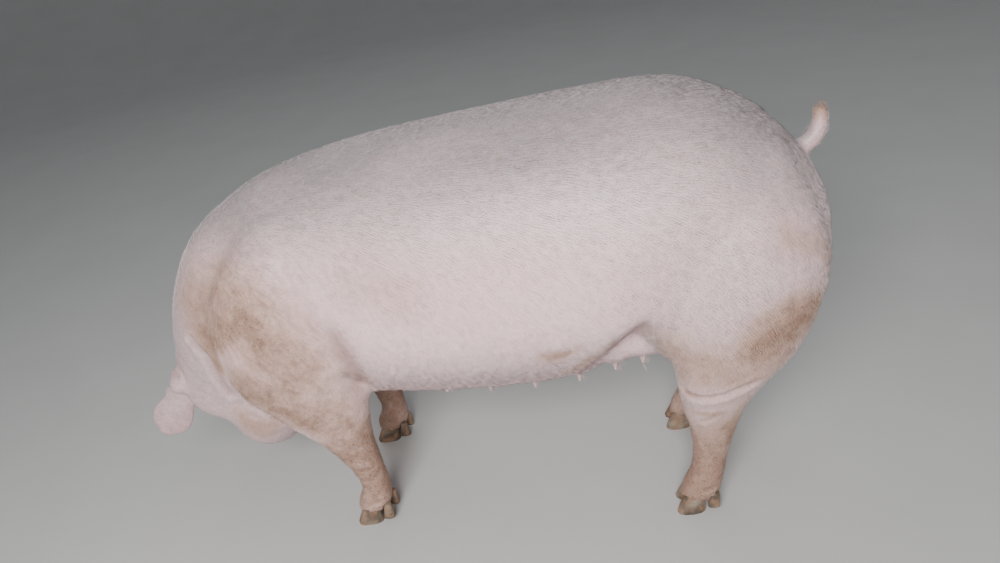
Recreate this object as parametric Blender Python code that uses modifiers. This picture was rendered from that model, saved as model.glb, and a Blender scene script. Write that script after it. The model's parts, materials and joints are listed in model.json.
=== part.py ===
"""A standing white sow at life size, head lowered and turned to her right, as a still museum model.

Units are metres. She faces -X, her right side is +Y and the floor is Z = 0. Flesh is made as one
body from lofted forms, then parted with thin cuts into the nodes that a person would name.
"""

import math
from collections import namedtuple

import bmesh
import bpy
from mathutils import Matrix, Vector
from mathutils.bvhtree import BVHTree

# Driving dimensions
HIP_HEIGHT = 0.895
BARREL_HALF_WIDTH = 0.245
FRONT_FOOT_X = -0.355
HIND_FOOT_X = 0.372
FRONT_TRACK_HALF = 0.142
RIGHT_FORE_STEP = -0.028
HIND_TRACK_HALF = 0.138
POLL = Vector((-0.6865, -0.0080, 0.3561))
HEAD_YAW = math.radians(70)
HEAD_PITCH = math.radians(40)
HEAD_ROLL = math.radians(-12)
EYE_RADIUS = 0.0125
EAR_LENGTH = 0.162
EAR_WIDTH = 0.097
EAR_THICKNESS = 0.006
# The middle of each ear's root on the head: along, outwards and up; the bend of the neck
# pushes the right one ahead
EAR_ROOT = {-1: (-0.046, 0.087, 0.000), 1: (0.022, 0.098, 0.016)}
# Where along the ear its tip starts to round, how far each half curls inwards at the root
# beyond the curl at the tip, and the fleshy stub that fills the root
EAR_TIP_START = 0.66
EAR_FLARE_END = 0.85
EAR_ROOT_SHARE = 0.50
EAR_ROOT_CURL = math.radians(42)
EAR_TIP_CURL = math.radians(26)
EAR_STUB = (0.040, 0.028, 0.032)
# How far each ear points outwards and ahead, and how far it hangs straight down at its root and
# at its tip; the head leans to the left, so the left ear hangs free and the right one lies on the cheek
EAR_SPREAD = {-1: (0.68, 0.30), 1: (0.70, 0.55)}
EAR_HANG = {-1: (0.440, 0.400), 1: (0.08, 0.52)}
TAIL_ROOT_RADIUS = 0.0205
TAIL_TIP_RADIUS = 0.0125
CLAW_LENGTH = 0.060
CLAW_WIDTH = 0.034
CLAW_HEIGHT = 0.044
CLAW_HALF_SPREAD = 0.0195
CLAW_AHEAD = 0.016
DEWCLAW_BEHIND = 0.030
DEWCLAW_HALF_SPREAD = 0.022
TEAT_PAIRS = 7
REAR_TEAT_X = 0.277
REAR_TEAT_SPACING = 0.057
TEAT_SPACING = 0.097
TEAT_SPACING_GROWTH = 0.0195
TEAT_HALF_SPREAD = 0.085
TEAT_LENGTH = 0.020
# How far each pair's mound hangs below the belly, from the hind pair forwards
UDDER_HANG = (0.000, 0.003, 0.013, 0.012, 0.010, 0.008, 0.006)
UDDER_MOUND = (0.046, 0.040, 0.036)
UDDER_INSET = 0.010
TEAT_SHORTENING = 0.0005
TEAT_DRAWING_IN = 0.0015
TEAT_SPLAY = 0.004
TEAT_PROFILE = ((0.010, 0.0125), (-0.10, 0.0095), (-0.75, 0.0066), (-1.0, 0.0044))
GAP = 0.0003

# Fineness of the flesh
FLESH_VOXEL = 0.009
FLESH_TRIANGLES = 6480
RING_POINTS = 28

PINK = (0.80, 0.58, 0.52, 1.0)
EAR_PINK = (0.82, 0.52, 0.47, 1.0)
HORN = (0.32, 0.25, 0.18, 1.0)
EYE_BROWN = (0.05, 0.03, 0.02, 1.0)
SNOUT_PINK = (0.70, 0.42, 0.38, 1.0)

LEFT = -1
RIGHT = 1

# One oval slice of a loft: its centre, and its half sizes along the side and up directions
Slice = namedtuple("Slice", "x y z side top bottom power")

# The trunk from rump to chest: back and belly heights, half width, widest level, squareness
TrunkSlice = namedtuple("TrunkSlice", "x y back belly half_width wide_at power")
TRUNK = (
    TrunkSlice(0.638, 0.000, 0.640, 0.520, 0.055, 0.575, 2.0),
    TrunkSlice(0.614, 0.000, 0.704, 0.455, 0.125, 0.585, 2.1),
    TrunkSlice(0.562, 0.000, 0.777, 0.425, 0.178, 0.600, 2.2),
    TrunkSlice(0.476, 0.000, 0.850, 0.400, 0.218, 0.610, 2.25),
    TrunkSlice(0.350, 0.000, HIP_HEIGHT, 0.372, 0.238, 0.605, 2.3),
    TrunkSlice(0.180, 0.000, 0.893, 0.335, BARREL_HALF_WIDTH, 0.590, 2.3),
    TrunkSlice(0.000, 0.000, 0.880, 0.312, BARREL_HALF_WIDTH, 0.580, 2.3),
    TrunkSlice(-0.180, 0.000, 0.862, 0.312, 0.238, 0.575, 2.3),
    TrunkSlice(-0.340, 0.002, 0.838, 0.325, 0.222, 0.575, 2.25),
    TrunkSlice(-0.470, 0.006, 0.802, 0.345, 0.198, 0.575, 2.2),
    TrunkSlice(-0.570, 0.014, 0.748, 0.365, 0.165, 0.560, 2.1),
    TrunkSlice(-0.630, 0.022, 0.670, 0.400, 0.120, 0.540, 2.0),
)

# The shoulder and front limb, seen from the side; y is outwards from the middle
SHOULDER_AND_FRONT_LEG = (
    Slice(-0.375, 0.105, 0.770, 0.050, 0.070, 0.070, 2.0),
    Slice(-0.400, 0.138, 0.690, 0.068, 0.115, 0.100, 2.1),
    Slice(-0.430, 0.152, 0.590, 0.082, 0.145, 0.130, 2.2),
    Slice(-0.440, 0.155, 0.490, 0.082, 0.140, 0.140, 2.2),
    Slice(-0.425, 0.152, 0.400, 0.074, 0.140, 0.130, 2.2),
    Slice(-0.400, 0.148, 0.320, 0.062, 0.110, 0.098, 2.1),
    Slice(-0.378, 0.146, 0.250, 0.050, 0.060, 0.064, 2.0),
    Slice(-0.362, 0.144, 0.195, 0.042, 0.042, 0.049, 2.0),
    Slice(-0.352, FRONT_TRACK_HALF, 0.140, 0.036, 0.029, 0.040, 2.0),
    Slice(-0.348, FRONT_TRACK_HALF, 0.095, 0.036, 0.030, 0.039, 2.0),
    Slice(-0.356, FRONT_TRACK_HALF, 0.060, 0.040, 0.042, 0.044, 2.1),
    Slice(-0.365, FRONT_TRACK_HALF, 0.032, 0.036, 0.038, 0.044, 2.2),
)

# The ham and hind limb
HAM_AND_HIND_LEG = (
    Slice(0.440, 0.090, 0.800, 0.050, 0.110, 0.095, 2.0),
    Slice(0.448, 0.130, 0.710, 0.082, 0.160, 0.130, 2.1),
    Slice(0.448, 0.146, 0.610, 0.098, 0.190, 0.160, 2.2),
    Slice(0.436, 0.150, 0.510, 0.100, 0.150, 0.160, 2.2),
    Slice(0.412, 0.150, 0.420, 0.090, 0.088, 0.150, 2.2),
    Slice(0.398, 0.148, 0.345, 0.074, 0.062, 0.110, 2.1),
    Slice(0.395, 0.144, 0.280, 0.057, 0.052, 0.076, 2.1),
    Slice(0.400, 0.141, 0.220, 0.044, 0.043, 0.054, 2.0),
    Slice(0.398, 0.139, 0.160, 0.037, 0.037, 0.041, 2.0),
    Slice(0.392, HIND_TRACK_HALF, 0.105, 0.036, 0.036, 0.038, 2.0),
    Slice(0.380, HIND_TRACK_HALF, 0.065, 0.040, 0.041, 0.043, 2.1),
    Slice(0.367, HIND_TRACK_HALF, 0.032, 0.036, 0.038, 0.048, 2.2),
)

# The hollow ahead of the thigh, below the flank's edge, seen from the side: x and z of its corners
# out at the flank and in beside the udder
GROIN_OUTER_Y, GROIN_INNER_Y = 0.255, 0.098
GROIN_OUTER = ((0.085, 0.280), (0.085, 0.385), (0.292, 0.565), (0.350, 0.400), (0.350, 0.280))
GROIN_INNER = ((0.160, 0.280), (0.160, 0.350), (0.265, 0.435), (0.318, 0.345), (0.318, 0.280))

# The cuts that part the head, in the head's own along, left and up, and the neck
HEAD_BLOCK_LOW = (-0.045, -0.150, -0.300)
HEAD_BLOCK_HIGH = (0.500, 0.124, 0.104)
NECK_CUT_PLACE = Vector((-0.500, 0.0, 0.015))
NECK_CUT_LEAN = math.radians(-8)
NECK_BLOCK = (0.8, 1.0, 1.2)

# The line of the mouth from its corner to the snout, along and up on the head, and its groove
MOUTH_LINE = ((0.150, -0.030), (0.185, -0.041), (0.225, -0.046), (0.270, -0.045), (0.330, -0.036))
MOUTH_HALF_GAP = 0.0013
MOUTH_DEPTH = 0.011
MOUTH_REACH = 0.12

# A claw from the sole up, as shares of its size: height, half length, half width, shift ahead
CLAW_LEVELS = (
    (0.00, 0.50, 0.44, 0.00),
    (0.10, 0.51, 0.47, -0.01),
    (0.45, 0.45, 0.48, -0.06),
    (0.80, 0.38, 0.44, -0.11),
    (1.00, 0.28, 0.36, -0.14),
)
CLAW_TOE, CLAW_HEEL = 1.08, 0.92
CLAW_SPLAY = math.radians(9)
DEWCLAW_SIZE = (0.026, 0.019, 0.040)
DEWCLAW_LIFT = 0.014

# The head along its own axis from the poll to the snout: half width, then up and down from the axis
HeadSlice = namedtuple("HeadSlice", "along side top bottom power")
HEAD = (
    HeadSlice(-0.062, 0.084, 0.064, 0.068, 2.0),
    HeadSlice(-0.034, 0.094, 0.082, 0.080, 2.0),
    HeadSlice(0.008, 0.107, 0.096, 0.088, 2.1),
    HeadSlice(0.054, 0.112, 0.094, 0.099, 2.2),
    HeadSlice(0.100, 0.103, 0.083, 0.103, 2.2),
    HeadSlice(0.147, 0.090, 0.070, 0.100, 2.2),
    HeadSlice(0.195, 0.074, 0.058, 0.088, 2.2),
    HeadSlice(0.245, 0.061, 0.050, 0.075, 2.2),
    HeadSlice(0.290, 0.053, 0.045, 0.062, 2.2),
    HeadSlice(0.322, 0.049, 0.043, 0.052, 2.2),
    HeadSlice(0.336, 0.046, 0.041, 0.046, 2.2),
)


def clear_scene():
    for old in list(bpy.data.objects):
        bpy.data.objects.remove(old, do_unlink=True)


def new_collection(name):
    made = bpy.data.collections.new(name)
    bpy.context.scene.collection.children.link(made)
    return made


def material(name, colour, roughness):
    made = bpy.data.materials.new(name)
    made.use_nodes = True
    shader = made.node_tree.nodes["Principled BSDF"]
    shader.inputs["Base Color"].default_value = colour
    shader.inputs["Roughness"].default_value = roughness
    shader.inputs["Metallic"].default_value = 0.0
    return made


def object_from(name, mesh_builder, collection):
    mesh = bpy.data.meshes.new(name)
    bmesh.ops.recalc_face_normals(mesh_builder, faces=mesh_builder.faces)
    mesh_builder.to_mesh(mesh)
    mesh_builder.free()
    made = bpy.data.objects.new(name, mesh)
    collection.objects.link(made)
    return made


def smooth_rows(rows, steps):
    """Rows of numbers with Catmull-Rom values between them, so that a few slices make a smooth form."""
    out = []
    last = len(rows) - 1
    for index in range(last):
        before = rows[max(index - 1, 0)]
        start, end = rows[index], rows[index + 1]
        after = rows[min(index + 2, last)]
        for step in range(steps):
            t = step / steps
            out.append(
                tuple(
                    0.5
                    * (
                        2 * b
                        + (c - a) * t
                        + (2 * a - 5 * b + 4 * c - d) * t * t
                        + (3 * b - a - 3 * c + d) * t**3
                    )
                    for a, b, c, d in zip(before, start, end, after)
                )
            )
    out.append(tuple(rows[-1]))
    return out


def oval(centre, side_way, up_way, side, top, bottom, power, count=RING_POINTS):
    """Points of a superellipse whose upper and lower halves may differ in height."""
    points = []
    for index in range(count):
        angle = 2 * math.pi * index / count
        across, up = math.cos(angle), math.sin(angle)
        across = math.copysign(abs(across) ** (2 / power), across)
        up = math.copysign(abs(up) ** (2 / power), up)
        height = top if up > 0 else bottom
        points.append(centre + side_way * (across * side) + up_way * (up * height))
    return points


def loft(name, rings, collection):
    """A closed body through rings of equally many points, with flat ends."""
    builder = bmesh.new()
    made = [[builder.verts.new(point) for point in ring] for ring in rings]
    count = len(rings[0])
    for lower, upper in zip(made, made[1:]):
        for index in range(count):
            following = (index + 1) % count
            builder.faces.new((lower[index], lower[following], upper[following], upper[index]))
    builder.faces.new(list(reversed(made[0])))
    builder.faces.new(made[-1])
    return object_from(name, builder, collection)


def ball(name, centre, radii, collection, turn=None, segments=20):
    """An ellipsoid, turned by a matrix if one is given."""
    builder = bmesh.new()
    bmesh.ops.create_uvsphere(builder, u_segments=segments, v_segments=segments // 2, radius=1.0)
    shape = Matrix.Diagonal((*radii, 1.0))
    placed = Matrix.Translation(centre) @ (turn or Matrix.Identity(4)) @ shape
    bmesh.ops.transform(builder, matrix=placed, verts=builder.verts)
    return object_from(name, builder, collection)


def apply_modifier(obj, kind, **settings):
    """Adds one modifier and bakes it into the mesh."""
    modifier = obj.modifiers.new(kind.title(), kind)
    for key, value in settings.items():
        setattr(modifier, key, value)
    bpy.context.view_layer.update()
    graph = bpy.context.evaluated_depsgraph_get()
    mesh = bpy.data.meshes.new_from_object(obj.evaluated_get(graph))
    obj.modifiers.clear()
    obj.data = mesh


def remove_all(objects):
    for obj in list(objects):
        bpy.data.objects.remove(obj, do_unlink=True)


def keep_largest(obj):
    """Keeps the largest closed surface of a mesh, by volume."""
    builder = bmesh.new()
    builder.from_mesh(obj.data)
    unseen = set(builder.verts)
    shells = []
    while unseen:
        start = unseen.pop()
        shell, edge_of = {start}, [start]
        while edge_of:
            vert = edge_of.pop()
            for edge in vert.link_edges:
                other = edge.other_vert(vert)
                if other in unseen:
                    unseen.remove(other)
                    shell.add(other)
                    edge_of.append(other)
        shells.append(shell)
    if len(shells) > 1:

        def size_of(shell):
            lows = [min(v.co[axis] for v in shell) for axis in range(3)]
            highs = [max(v.co[axis] for v in shell) for axis in range(3)]
            return math.prod(high - low for low, high in zip(lows, highs))

        largest = max(shells, key=size_of)
        extra = [v for shell in shells if shell is not largest for v in shell]
        bmesh.ops.delete(builder, geom=extra, context="VERTS")
    builder.to_mesh(obj.data)
    builder.free()


def join_pieces(obj, collection):
    """Fuses every object of a collection into obj, and removes them."""
    apply_modifier(
        obj,
        "BOOLEAN",
        operation="UNION",
        operand_type="COLLECTION",
        collection=collection,
        solver="EXACT",
    )
    remove_all(collection.objects)
    keep_largest(obj)


def copy_of(obj, name, collection):
    made = obj.copy()
    made.data = obj.data.copy()
    made.name = name
    collection.objects.link(made)
    return made


def cut(obj, cutter, operation="DIFFERENCE"):
    cutter.display_type = "WIRE"
    cutter.hide_render = True
    apply_modifier(obj, "BOOLEAN", operation=operation, object=cutter, solver="EXACT")


def trim_clear_of(obj, neighbour, gap=GAP):
    """Cuts obj back so that it meets its neighbour face to face across the gap."""
    cutter = copy_of(neighbour, "grown_" + neighbour.name, helpers)
    apply_modifier(cutter, "DISPLACE", strength=gap * 1.6, mid_level=0.0)
    cut(obj, cutter)
    bpy.data.objects.remove(cutter, do_unlink=True)
    keep_largest(obj)


# The trunk and limbs


def make_trunk(collection):
    rings = []
    for x, y, back, belly, half_width, wide_at, power in smooth_rows(TRUNK, 4):
        centre = Vector((x, y, wide_at))
        rings.append(
            oval(
                centre,
                Vector((0, 1, 0)),
                Vector((0, 0, 1)),
                half_width,
                back - wide_at,
                wide_at - belly,
                power,
                44,
            )
        )
    return loft("trunk", rings, collection)


def make_limb(name, slices, hand, step, collection):
    """A limb whose slices lie level; its foot stands a step ahead of or behind its place."""
    rings = []
    for x, y, z, side, ahead, behind, power in smooth_rows(slices, 3):
        centre = Vector((x + step * min(1.0, max(0.0, (0.60 - z) / 0.45)), hand * y, z))
        rings.append(
            oval(centre, Vector((0, 1, 0)), Vector((-1, 0, 0)), side, ahead, behind, power)
        )
    return loft(name, rings, collection)


# The head's own frame: forward runs from poll to snout, crown is the forehead's way


def head_axes():
    """Forward dips below the level by the pitch, and left stays level but for the roll."""
    level = math.cos(HEAD_PITCH)
    forward = Vector((-math.cos(HEAD_YAW) * level, math.sin(HEAD_YAW) * level, -math.sin(HEAD_PITCH)))
    left = Vector((-math.sin(HEAD_YAW), -math.cos(HEAD_YAW), 0.0))
    left.rotate(Matrix.Rotation(HEAD_ROLL, 3, forward))
    return forward, left, forward.cross(left).normalized()


FORWARD, HEAD_LEFT, CROWN = head_axes()


def on_head(along, left, up):
    """A point of the head, from its distance past the poll, to the left and towards the crown."""
    return POLL + FORWARD * along + HEAD_LEFT * left + CROWN * up


JOWL_CENTRE = on_head(0.021, -0.048, -0.132)


def head_turn():
    """The rotation that carries X, Y, Z to the head's forward, left and crown."""
    return Matrix((FORWARD, HEAD_LEFT, CROWN)).transposed().to_4x4()


def make_head_form(collection):
    rings = []
    for along, side, top, bottom, power in smooth_rows(HEAD, 4):
        rings.append(oval(on_head(along, 0, 0), HEAD_LEFT, CROWN, side, top, bottom, power))
    head = loft("head_form", rings, collection)
    ball("jowls", JOWL_CENTRE, (0.122, 0.090, 0.090), collection, head_turn())
    for hand in (LEFT, RIGHT):
        left = -hand
        ball(
            "jowl",
            on_head(0.074, left * 0.052, -0.058),
            (0.090, 0.046, 0.046),
            collection,
            head_turn(),
        )
        ball(
            "brow",
            on_head(0.118, left * 0.066, 0.050),
            (0.040, 0.024, 0.022),
            collection,
            head_turn(),
        )
        ball(
            "cheek",
            on_head(0.105, left * 0.078, -0.020),
            (0.065, 0.032, 0.042),
            collection,
            head_turn(),
        )
    return head


def make_neck(collection):
    """The neck bends right and down from the chest to the back of the head."""
    level, back = Vector((0, 0, 1)), Vector((-1, 0, 0))
    stations = (
        (Vector((-0.430, 0.000, 0.585)), back, level, 0.190, 0.215, 0.225),
        (Vector((-0.530, 0.002, 0.545)), Vector((-1, 0.03, -0.35)), level, 0.180, 0.203, 0.205),
        (Vector((-0.600, 0.004, 0.468)), Vector((-0.9, 0.12, -0.75)), level, 0.160, 0.170, 0.185),
        (Vector((-0.650, 0.004, 0.385)), Vector((-0.6, 0.40, -0.85)), level, 0.135, 0.132, 0.158),
        (POLL - FORWARD * 0.030 - CROWN * 0.005, Vector((-0.1, 0.9, -0.75)), CROWN, 0.110, 0.100, 0.120),
        (POLL + FORWARD * 0.045 - CROWN * 0.010, FORWARD, CROWN, 0.095, 0.080, 0.100),
    )
    rows = [(*centre, *ahead, *up, *sizes) for centre, ahead, up, *sizes in stations]
    rings = []
    for row in smooth_rows(rows, 4):
        ahead, up = Vector(row[3:6]).normalized(), Vector(row[6:9])
        side, top, bottom = row[9:12]
        side_way = up.cross(ahead).normalized()
        up_way = ahead.cross(side_way).normalized()
        rings.append(oval(Vector(row[0:3]), side_way, up_way, side, top, bottom, 2.1, 36))
    throat = POLL + Vector((0.0785, 0.003, -0.056))
    ball("throat", throat, (0.110, 0.100, 0.105), collection)
    return loft("neck_form", rings, collection)


def belly_height(x, y):
    """Height of the trunk's underside at a distance y from the middle line."""
    nearest = min(smooth_rows(TRUNK, 4), key=lambda row: abs(row[0] - x))
    belly, half_width, wide_at, power = nearest[3:]
    share = (1.0 - (abs(y) / half_width) ** power) ** (1.0 / power)
    return wide_at - (wide_at - belly) * share


def teat_stations():
    """How far along the belly each pair of teats stands; the hind pairs stand closer together."""
    stations = []
    x, spacing = REAR_TEAT_X, REAR_TEAT_SPACING
    for _ in range(TEAT_PAIRS):
        stations.append(x)
        x -= spacing
        spacing = min(TEAT_SPACING, spacing + TEAT_SPACING_GROWTH)
    return stations


def hollow_groin(body, hand):
    """Takes out the hollow between the flank's lower edge, the thigh and the udder."""
    rings = [
        [Vector((x, hand * y, z)) for x, z in outline]
        for y, outline in ((GROIN_OUTER_Y, GROIN_OUTER), (GROIN_INNER_Y, GROIN_INNER))
    ]
    hollow = loft("groin", rings, helpers)
    cut(body, hollow)
    bpy.data.objects.remove(hollow, do_unlink=True)


def add_udder(body):
    """A row of low mounds along each side of the belly, fuller towards the hind legs."""
    pieces = new_collection("udder")
    depth = UDDER_MOUND[2]
    for x, hang in zip(teat_stations(), UDDER_HANG):
        for hand in (LEFT, RIGHT):
            y = hand * (TEAT_HALF_SPREAD - UDDER_INSET)
            centre = Vector((x, y, belly_height(x, y) + depth - hang))
            ball("mound", centre, UDDER_MOUND, pieces)
    fuse(body, pieces)


def soften(body, centre, radius, rounds):
    """Smooths the flesh round one point, so that the forms that meet there run into each other."""
    group = body.vertex_groups.new(name="soft")
    for vert in body.data.vertices:
        near = 1.0 - (vert.co - centre).length / radius
        if near > 0.0:
            group.add([vert.index], min(1.0, 2.5 * near), "REPLACE")
    apply_modifier(body, "SMOOTH", factor=0.5, iterations=rounds, vertex_group="soft")
    body.vertex_groups.clear()


def make_flesh():
    """Trunk, limbs, neck and head fused and smoothed into one body."""
    pieces = new_collection("flesh_pieces")
    body = make_trunk(model)
    for hand in (LEFT, RIGHT):
        step = RIGHT_FORE_STEP if hand == RIGHT else 0.0
        make_limb("front_limb", SHOULDER_AND_FRONT_LEG, hand, step, pieces)
        make_limb("hind_limb", HAM_AND_HIND_LEG, hand, 0.0, pieces)
    make_neck(pieces)
    make_head_form(pieces)
    join_pieces(body, pieces)
    bpy.data.collections.remove(pieces)
    for hand in (LEFT, RIGHT):
        hollow_groin(body, hand)
    add_udder(body)
    apply_modifier(body, "REMESH", mode="VOXEL", voxel_size=FLESH_VOXEL, adaptivity=0.0)
    keep_largest(body)
    apply_modifier(body, "SMOOTH", factor=0.5, iterations=10)
    soften(body, (JOWL_CENTRE + on_head(0.06, 0.0, -0.06)) / 2, 0.180, 40)
    return body


def thin_out(body, triangles):
    """Fewer triangles, which stay closest together where the form bends most."""
    apply_modifier(body, "TRIANGULATE")
    ratio = triangles / len(body.data.polygons)
    apply_modifier(body, "DECIMATE", decimate_type="COLLAPSE", ratio=ratio)
    keep_largest(body)


# Parting the flesh into nodes


def region(name, centre, half, turn=None):
    """A closed box for cutting, turned by a matrix if one is given."""
    builder = bmesh.new()
    bmesh.ops.create_cube(builder, size=2.0)
    placed = Matrix.Translation(centre) @ (turn or Matrix.Identity(4))
    placed = placed @ Matrix.Diagonal((*half, 1.0))
    bmesh.ops.transform(builder, matrix=placed, verts=builder.verts)
    return object_from(name, builder, helpers)


def split_off(body, name, centre, half, turn=None):
    """Moves the part of body inside a box to its own node, with the gap between them."""
    inner = region("inner", centre, half, turn)
    outer = region("outer", centre, [size + GAP for size in half], turn)
    return part_by(body, name, inner, outer)


def part_by(body, name, inner, outer):
    """The flesh within inner becomes a node, and outer is cut from the body round it."""
    piece = copy_of(body, name, model)
    cut(piece, inner, "INTERSECT")
    cut(body, outer)
    keep_largest(piece)
    keep_largest(body)
    remove_all((inner, outer))
    return piece


def part_head_and_neck(body):
    """The head parts across the poll, and the neck ahead of the shoulders."""
    middle = [(a + b) / 2 for a, b in zip(HEAD_BLOCK_LOW, HEAD_BLOCK_HIGH)]
    half = [(b - a) / 2 for a, b in zip(HEAD_BLOCK_LOW, HEAD_BLOCK_HIGH)]
    head = split_off(body, "head", on_head(*middle), half, head_turn())
    lean = Matrix.Rotation(NECK_CUT_LEAN, 4, "Y")
    length, width, height = NECK_BLOCK
    centre = NECK_CUT_PLACE + lean.to_3x3() @ Vector((-length / 2, 0.0, height / 2))
    neck = split_off(body, "neck", centre, (length / 2, width / 2, height / 2), lean)
    return head, neck


def leg_region(name, hand, span_x, corner, slope, grow):
    """A wedge round one leg, whose upper face climbs from the groin or armpit to the outside."""
    inner_y, inner_z = corner
    inner_y, inner_z = inner_y - grow, inner_z + grow / math.cos(slope)
    outer_y, floor = 0.5, -0.1
    outline = (
        (inner_y, floor),
        (inner_y, inner_z),
        (outer_y, inner_z + (outer_y - inner_y) * math.tan(slope)),
        (outer_y, floor),
    )
    rings = [
        [Vector((x, hand * y, z)) for y, z in outline]
        for x in (span_x[0] - grow, span_x[1] + grow)
    ]
    return loft(name, rings, helpers)


def part_leg(body, name, hand, span_x, corner, slope):
    inner = leg_region("inner", hand, span_x, corner, slope, 0.0)
    outer = leg_region("outer", hand, span_x, corner, slope, GAP)
    return part_by(body, name, inner, outer)


# Features of the head


def fuse(obj, pieces):
    join_pieces(obj, pieces)
    bpy.data.collections.remove(pieces)


def eye_place(hand):
    """Centre of an eyeball and the way it looks."""
    left = -hand
    centre = on_head(0.120, left * 0.0770, 0.040)
    looks = (HEAD_LEFT * left + FORWARD * 0.30 + CROWN * 0.28).normalized()
    return centre, looks


def facing(direction, level):
    """A rotation whose Z runs along direction, and X lies towards level."""
    depth = direction.normalized()
    across = (level - depth * level.dot(depth)).normalized()
    return Matrix((across, depth.cross(across), depth)).transposed().to_4x4()


def add_lids(head, hand):
    """Two lids that stand proud round an almond opening."""
    centre, looks = eye_place(hand)
    turn = facing(looks, FORWARD)
    pieces = new_collection("lids")
    ball("lid_swell", centre + looks * 0.0015, (0.0215, 0.0165, 0.0165), pieces, turn, 16)
    upper = centre + CROWN * 0.0105 + looks * 0.0045
    lower = centre - CROWN * 0.0105 + looks * 0.0035
    ball("upper_lid", upper, (0.021, 0.0075, 0.010), pieces, turn, 14)
    ball("lower_lid", lower, (0.018, 0.0065, 0.009), pieces, turn, 14)
    fuse(head, pieces)
    opening = ball("opening", centre + looks * 0.016, (0.0150, 0.0062, 0.0130), helpers, turn, 16)
    cut(head, opening)
    socket = ball("socket", centre, [EYE_RADIUS * 1.02 + GAP] * 3, helpers, turn, 20)
    cut(head, socket)
    remove_all((opening, socket))
    keep_largest(head)


def make_eye(name, hand):
    centre, looks = eye_place(hand)
    eye = ball(name, centre, [EYE_RADIUS] * 3, model, facing(looks, FORWARD), 16)
    return eye


def add_mouth(head):
    """The line of the mouth: a groove round the muzzle that rises to its corners."""
    rows = smooth_rows(MOUTH_LINE, 3)
    builder = bmesh.new()
    rings = []
    for along, up in rows:
        rings.append(
            [
                builder.verts.new(on_head(along, side, up + height))
                for side, height in (
                    (-MOUTH_REACH, -MOUTH_HALF_GAP),
                    (MOUTH_REACH, -MOUTH_HALF_GAP),
                    (MOUTH_REACH, MOUTH_HALF_GAP),
                    (-MOUTH_REACH, MOUTH_HALF_GAP),
                )
            ]
        )
    for lower, upper in zip(rings, rings[1:]):
        for index in range(4):
            following = (index + 1) % 4
            builder.faces.new((lower[index], lower[following], upper[following], upper[index]))
    builder.faces.new(list(reversed(rings[0])))
    builder.faces.new(rings[-1])
    groove = object_from("groove", builder, helpers)
    core_rings = []
    for along, side, top, bottom, power in smooth_rows(HEAD, 3):
        centre = on_head(along - MOUTH_DEPTH, 0, 0)
        core_rings.append(
            oval(centre, HEAD_LEFT, CROWN, side - MOUTH_DEPTH, top, bottom, power, 24)
        )
    core = loft("core", core_rings, helpers)
    cut(groove, core)
    cut(head, groove)
    remove_all((groove, core))
    keep_largest(head)


def make_snout():
    """The rooting disc: a raised rim, a slightly hollow face and two open nostrils."""
    profile = ((0.3385, 0.0450), (0.3430, 0.0485), (0.3500, 0.0505), (0.3570, 0.0500), (0.3630, 0.0455))
    rings = []
    for along, half in profile:
        rings.append(
            oval(on_head(along, 0, 0.002), HEAD_LEFT, CROWN, half, half * 0.82, half * 0.82, 2.3, 24)
        )
    snout = loft("snout", rings, model)
    hollow = ball(
        "hollow", on_head(0.402, 0, 0.002), (0.042, 0.060, 0.050), helpers, head_turn(), 20
    )
    cut(snout, hollow)
    for hand in (LEFT, RIGHT):
        nostril = ball(
            "nostril",
            on_head(0.358, -hand * 0.0175, 0.004),
            (0.0125, 0.0075, 0.0095),
            helpers,
            head_turn(),
            12,
        )
        cut(snout, nostril)
        bpy.data.objects.remove(nostril, do_unlink=True)
    bpy.data.objects.remove(hollow, do_unlink=True)
    keep_largest(snout)
    return snout


def ear_half_width(t):
    """Half the ear's width at a share t of its length: narrow at the root, with a round tip."""
    flare = math.sin(math.pi * min(1.0, t / EAR_FLARE_END) / 2) ** 1.5
    half = 0.5 * EAR_WIDTH * (EAR_ROOT_SHARE + (1.0 - EAR_ROOT_SHARE) * flare)
    if t > EAR_TIP_START:
        rounding = (t - EAR_TIP_START) / (1.01 - EAR_TIP_START)
        half *= math.sqrt(max(0.0, 1.0 - rounding**2.4))
    return half


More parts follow.
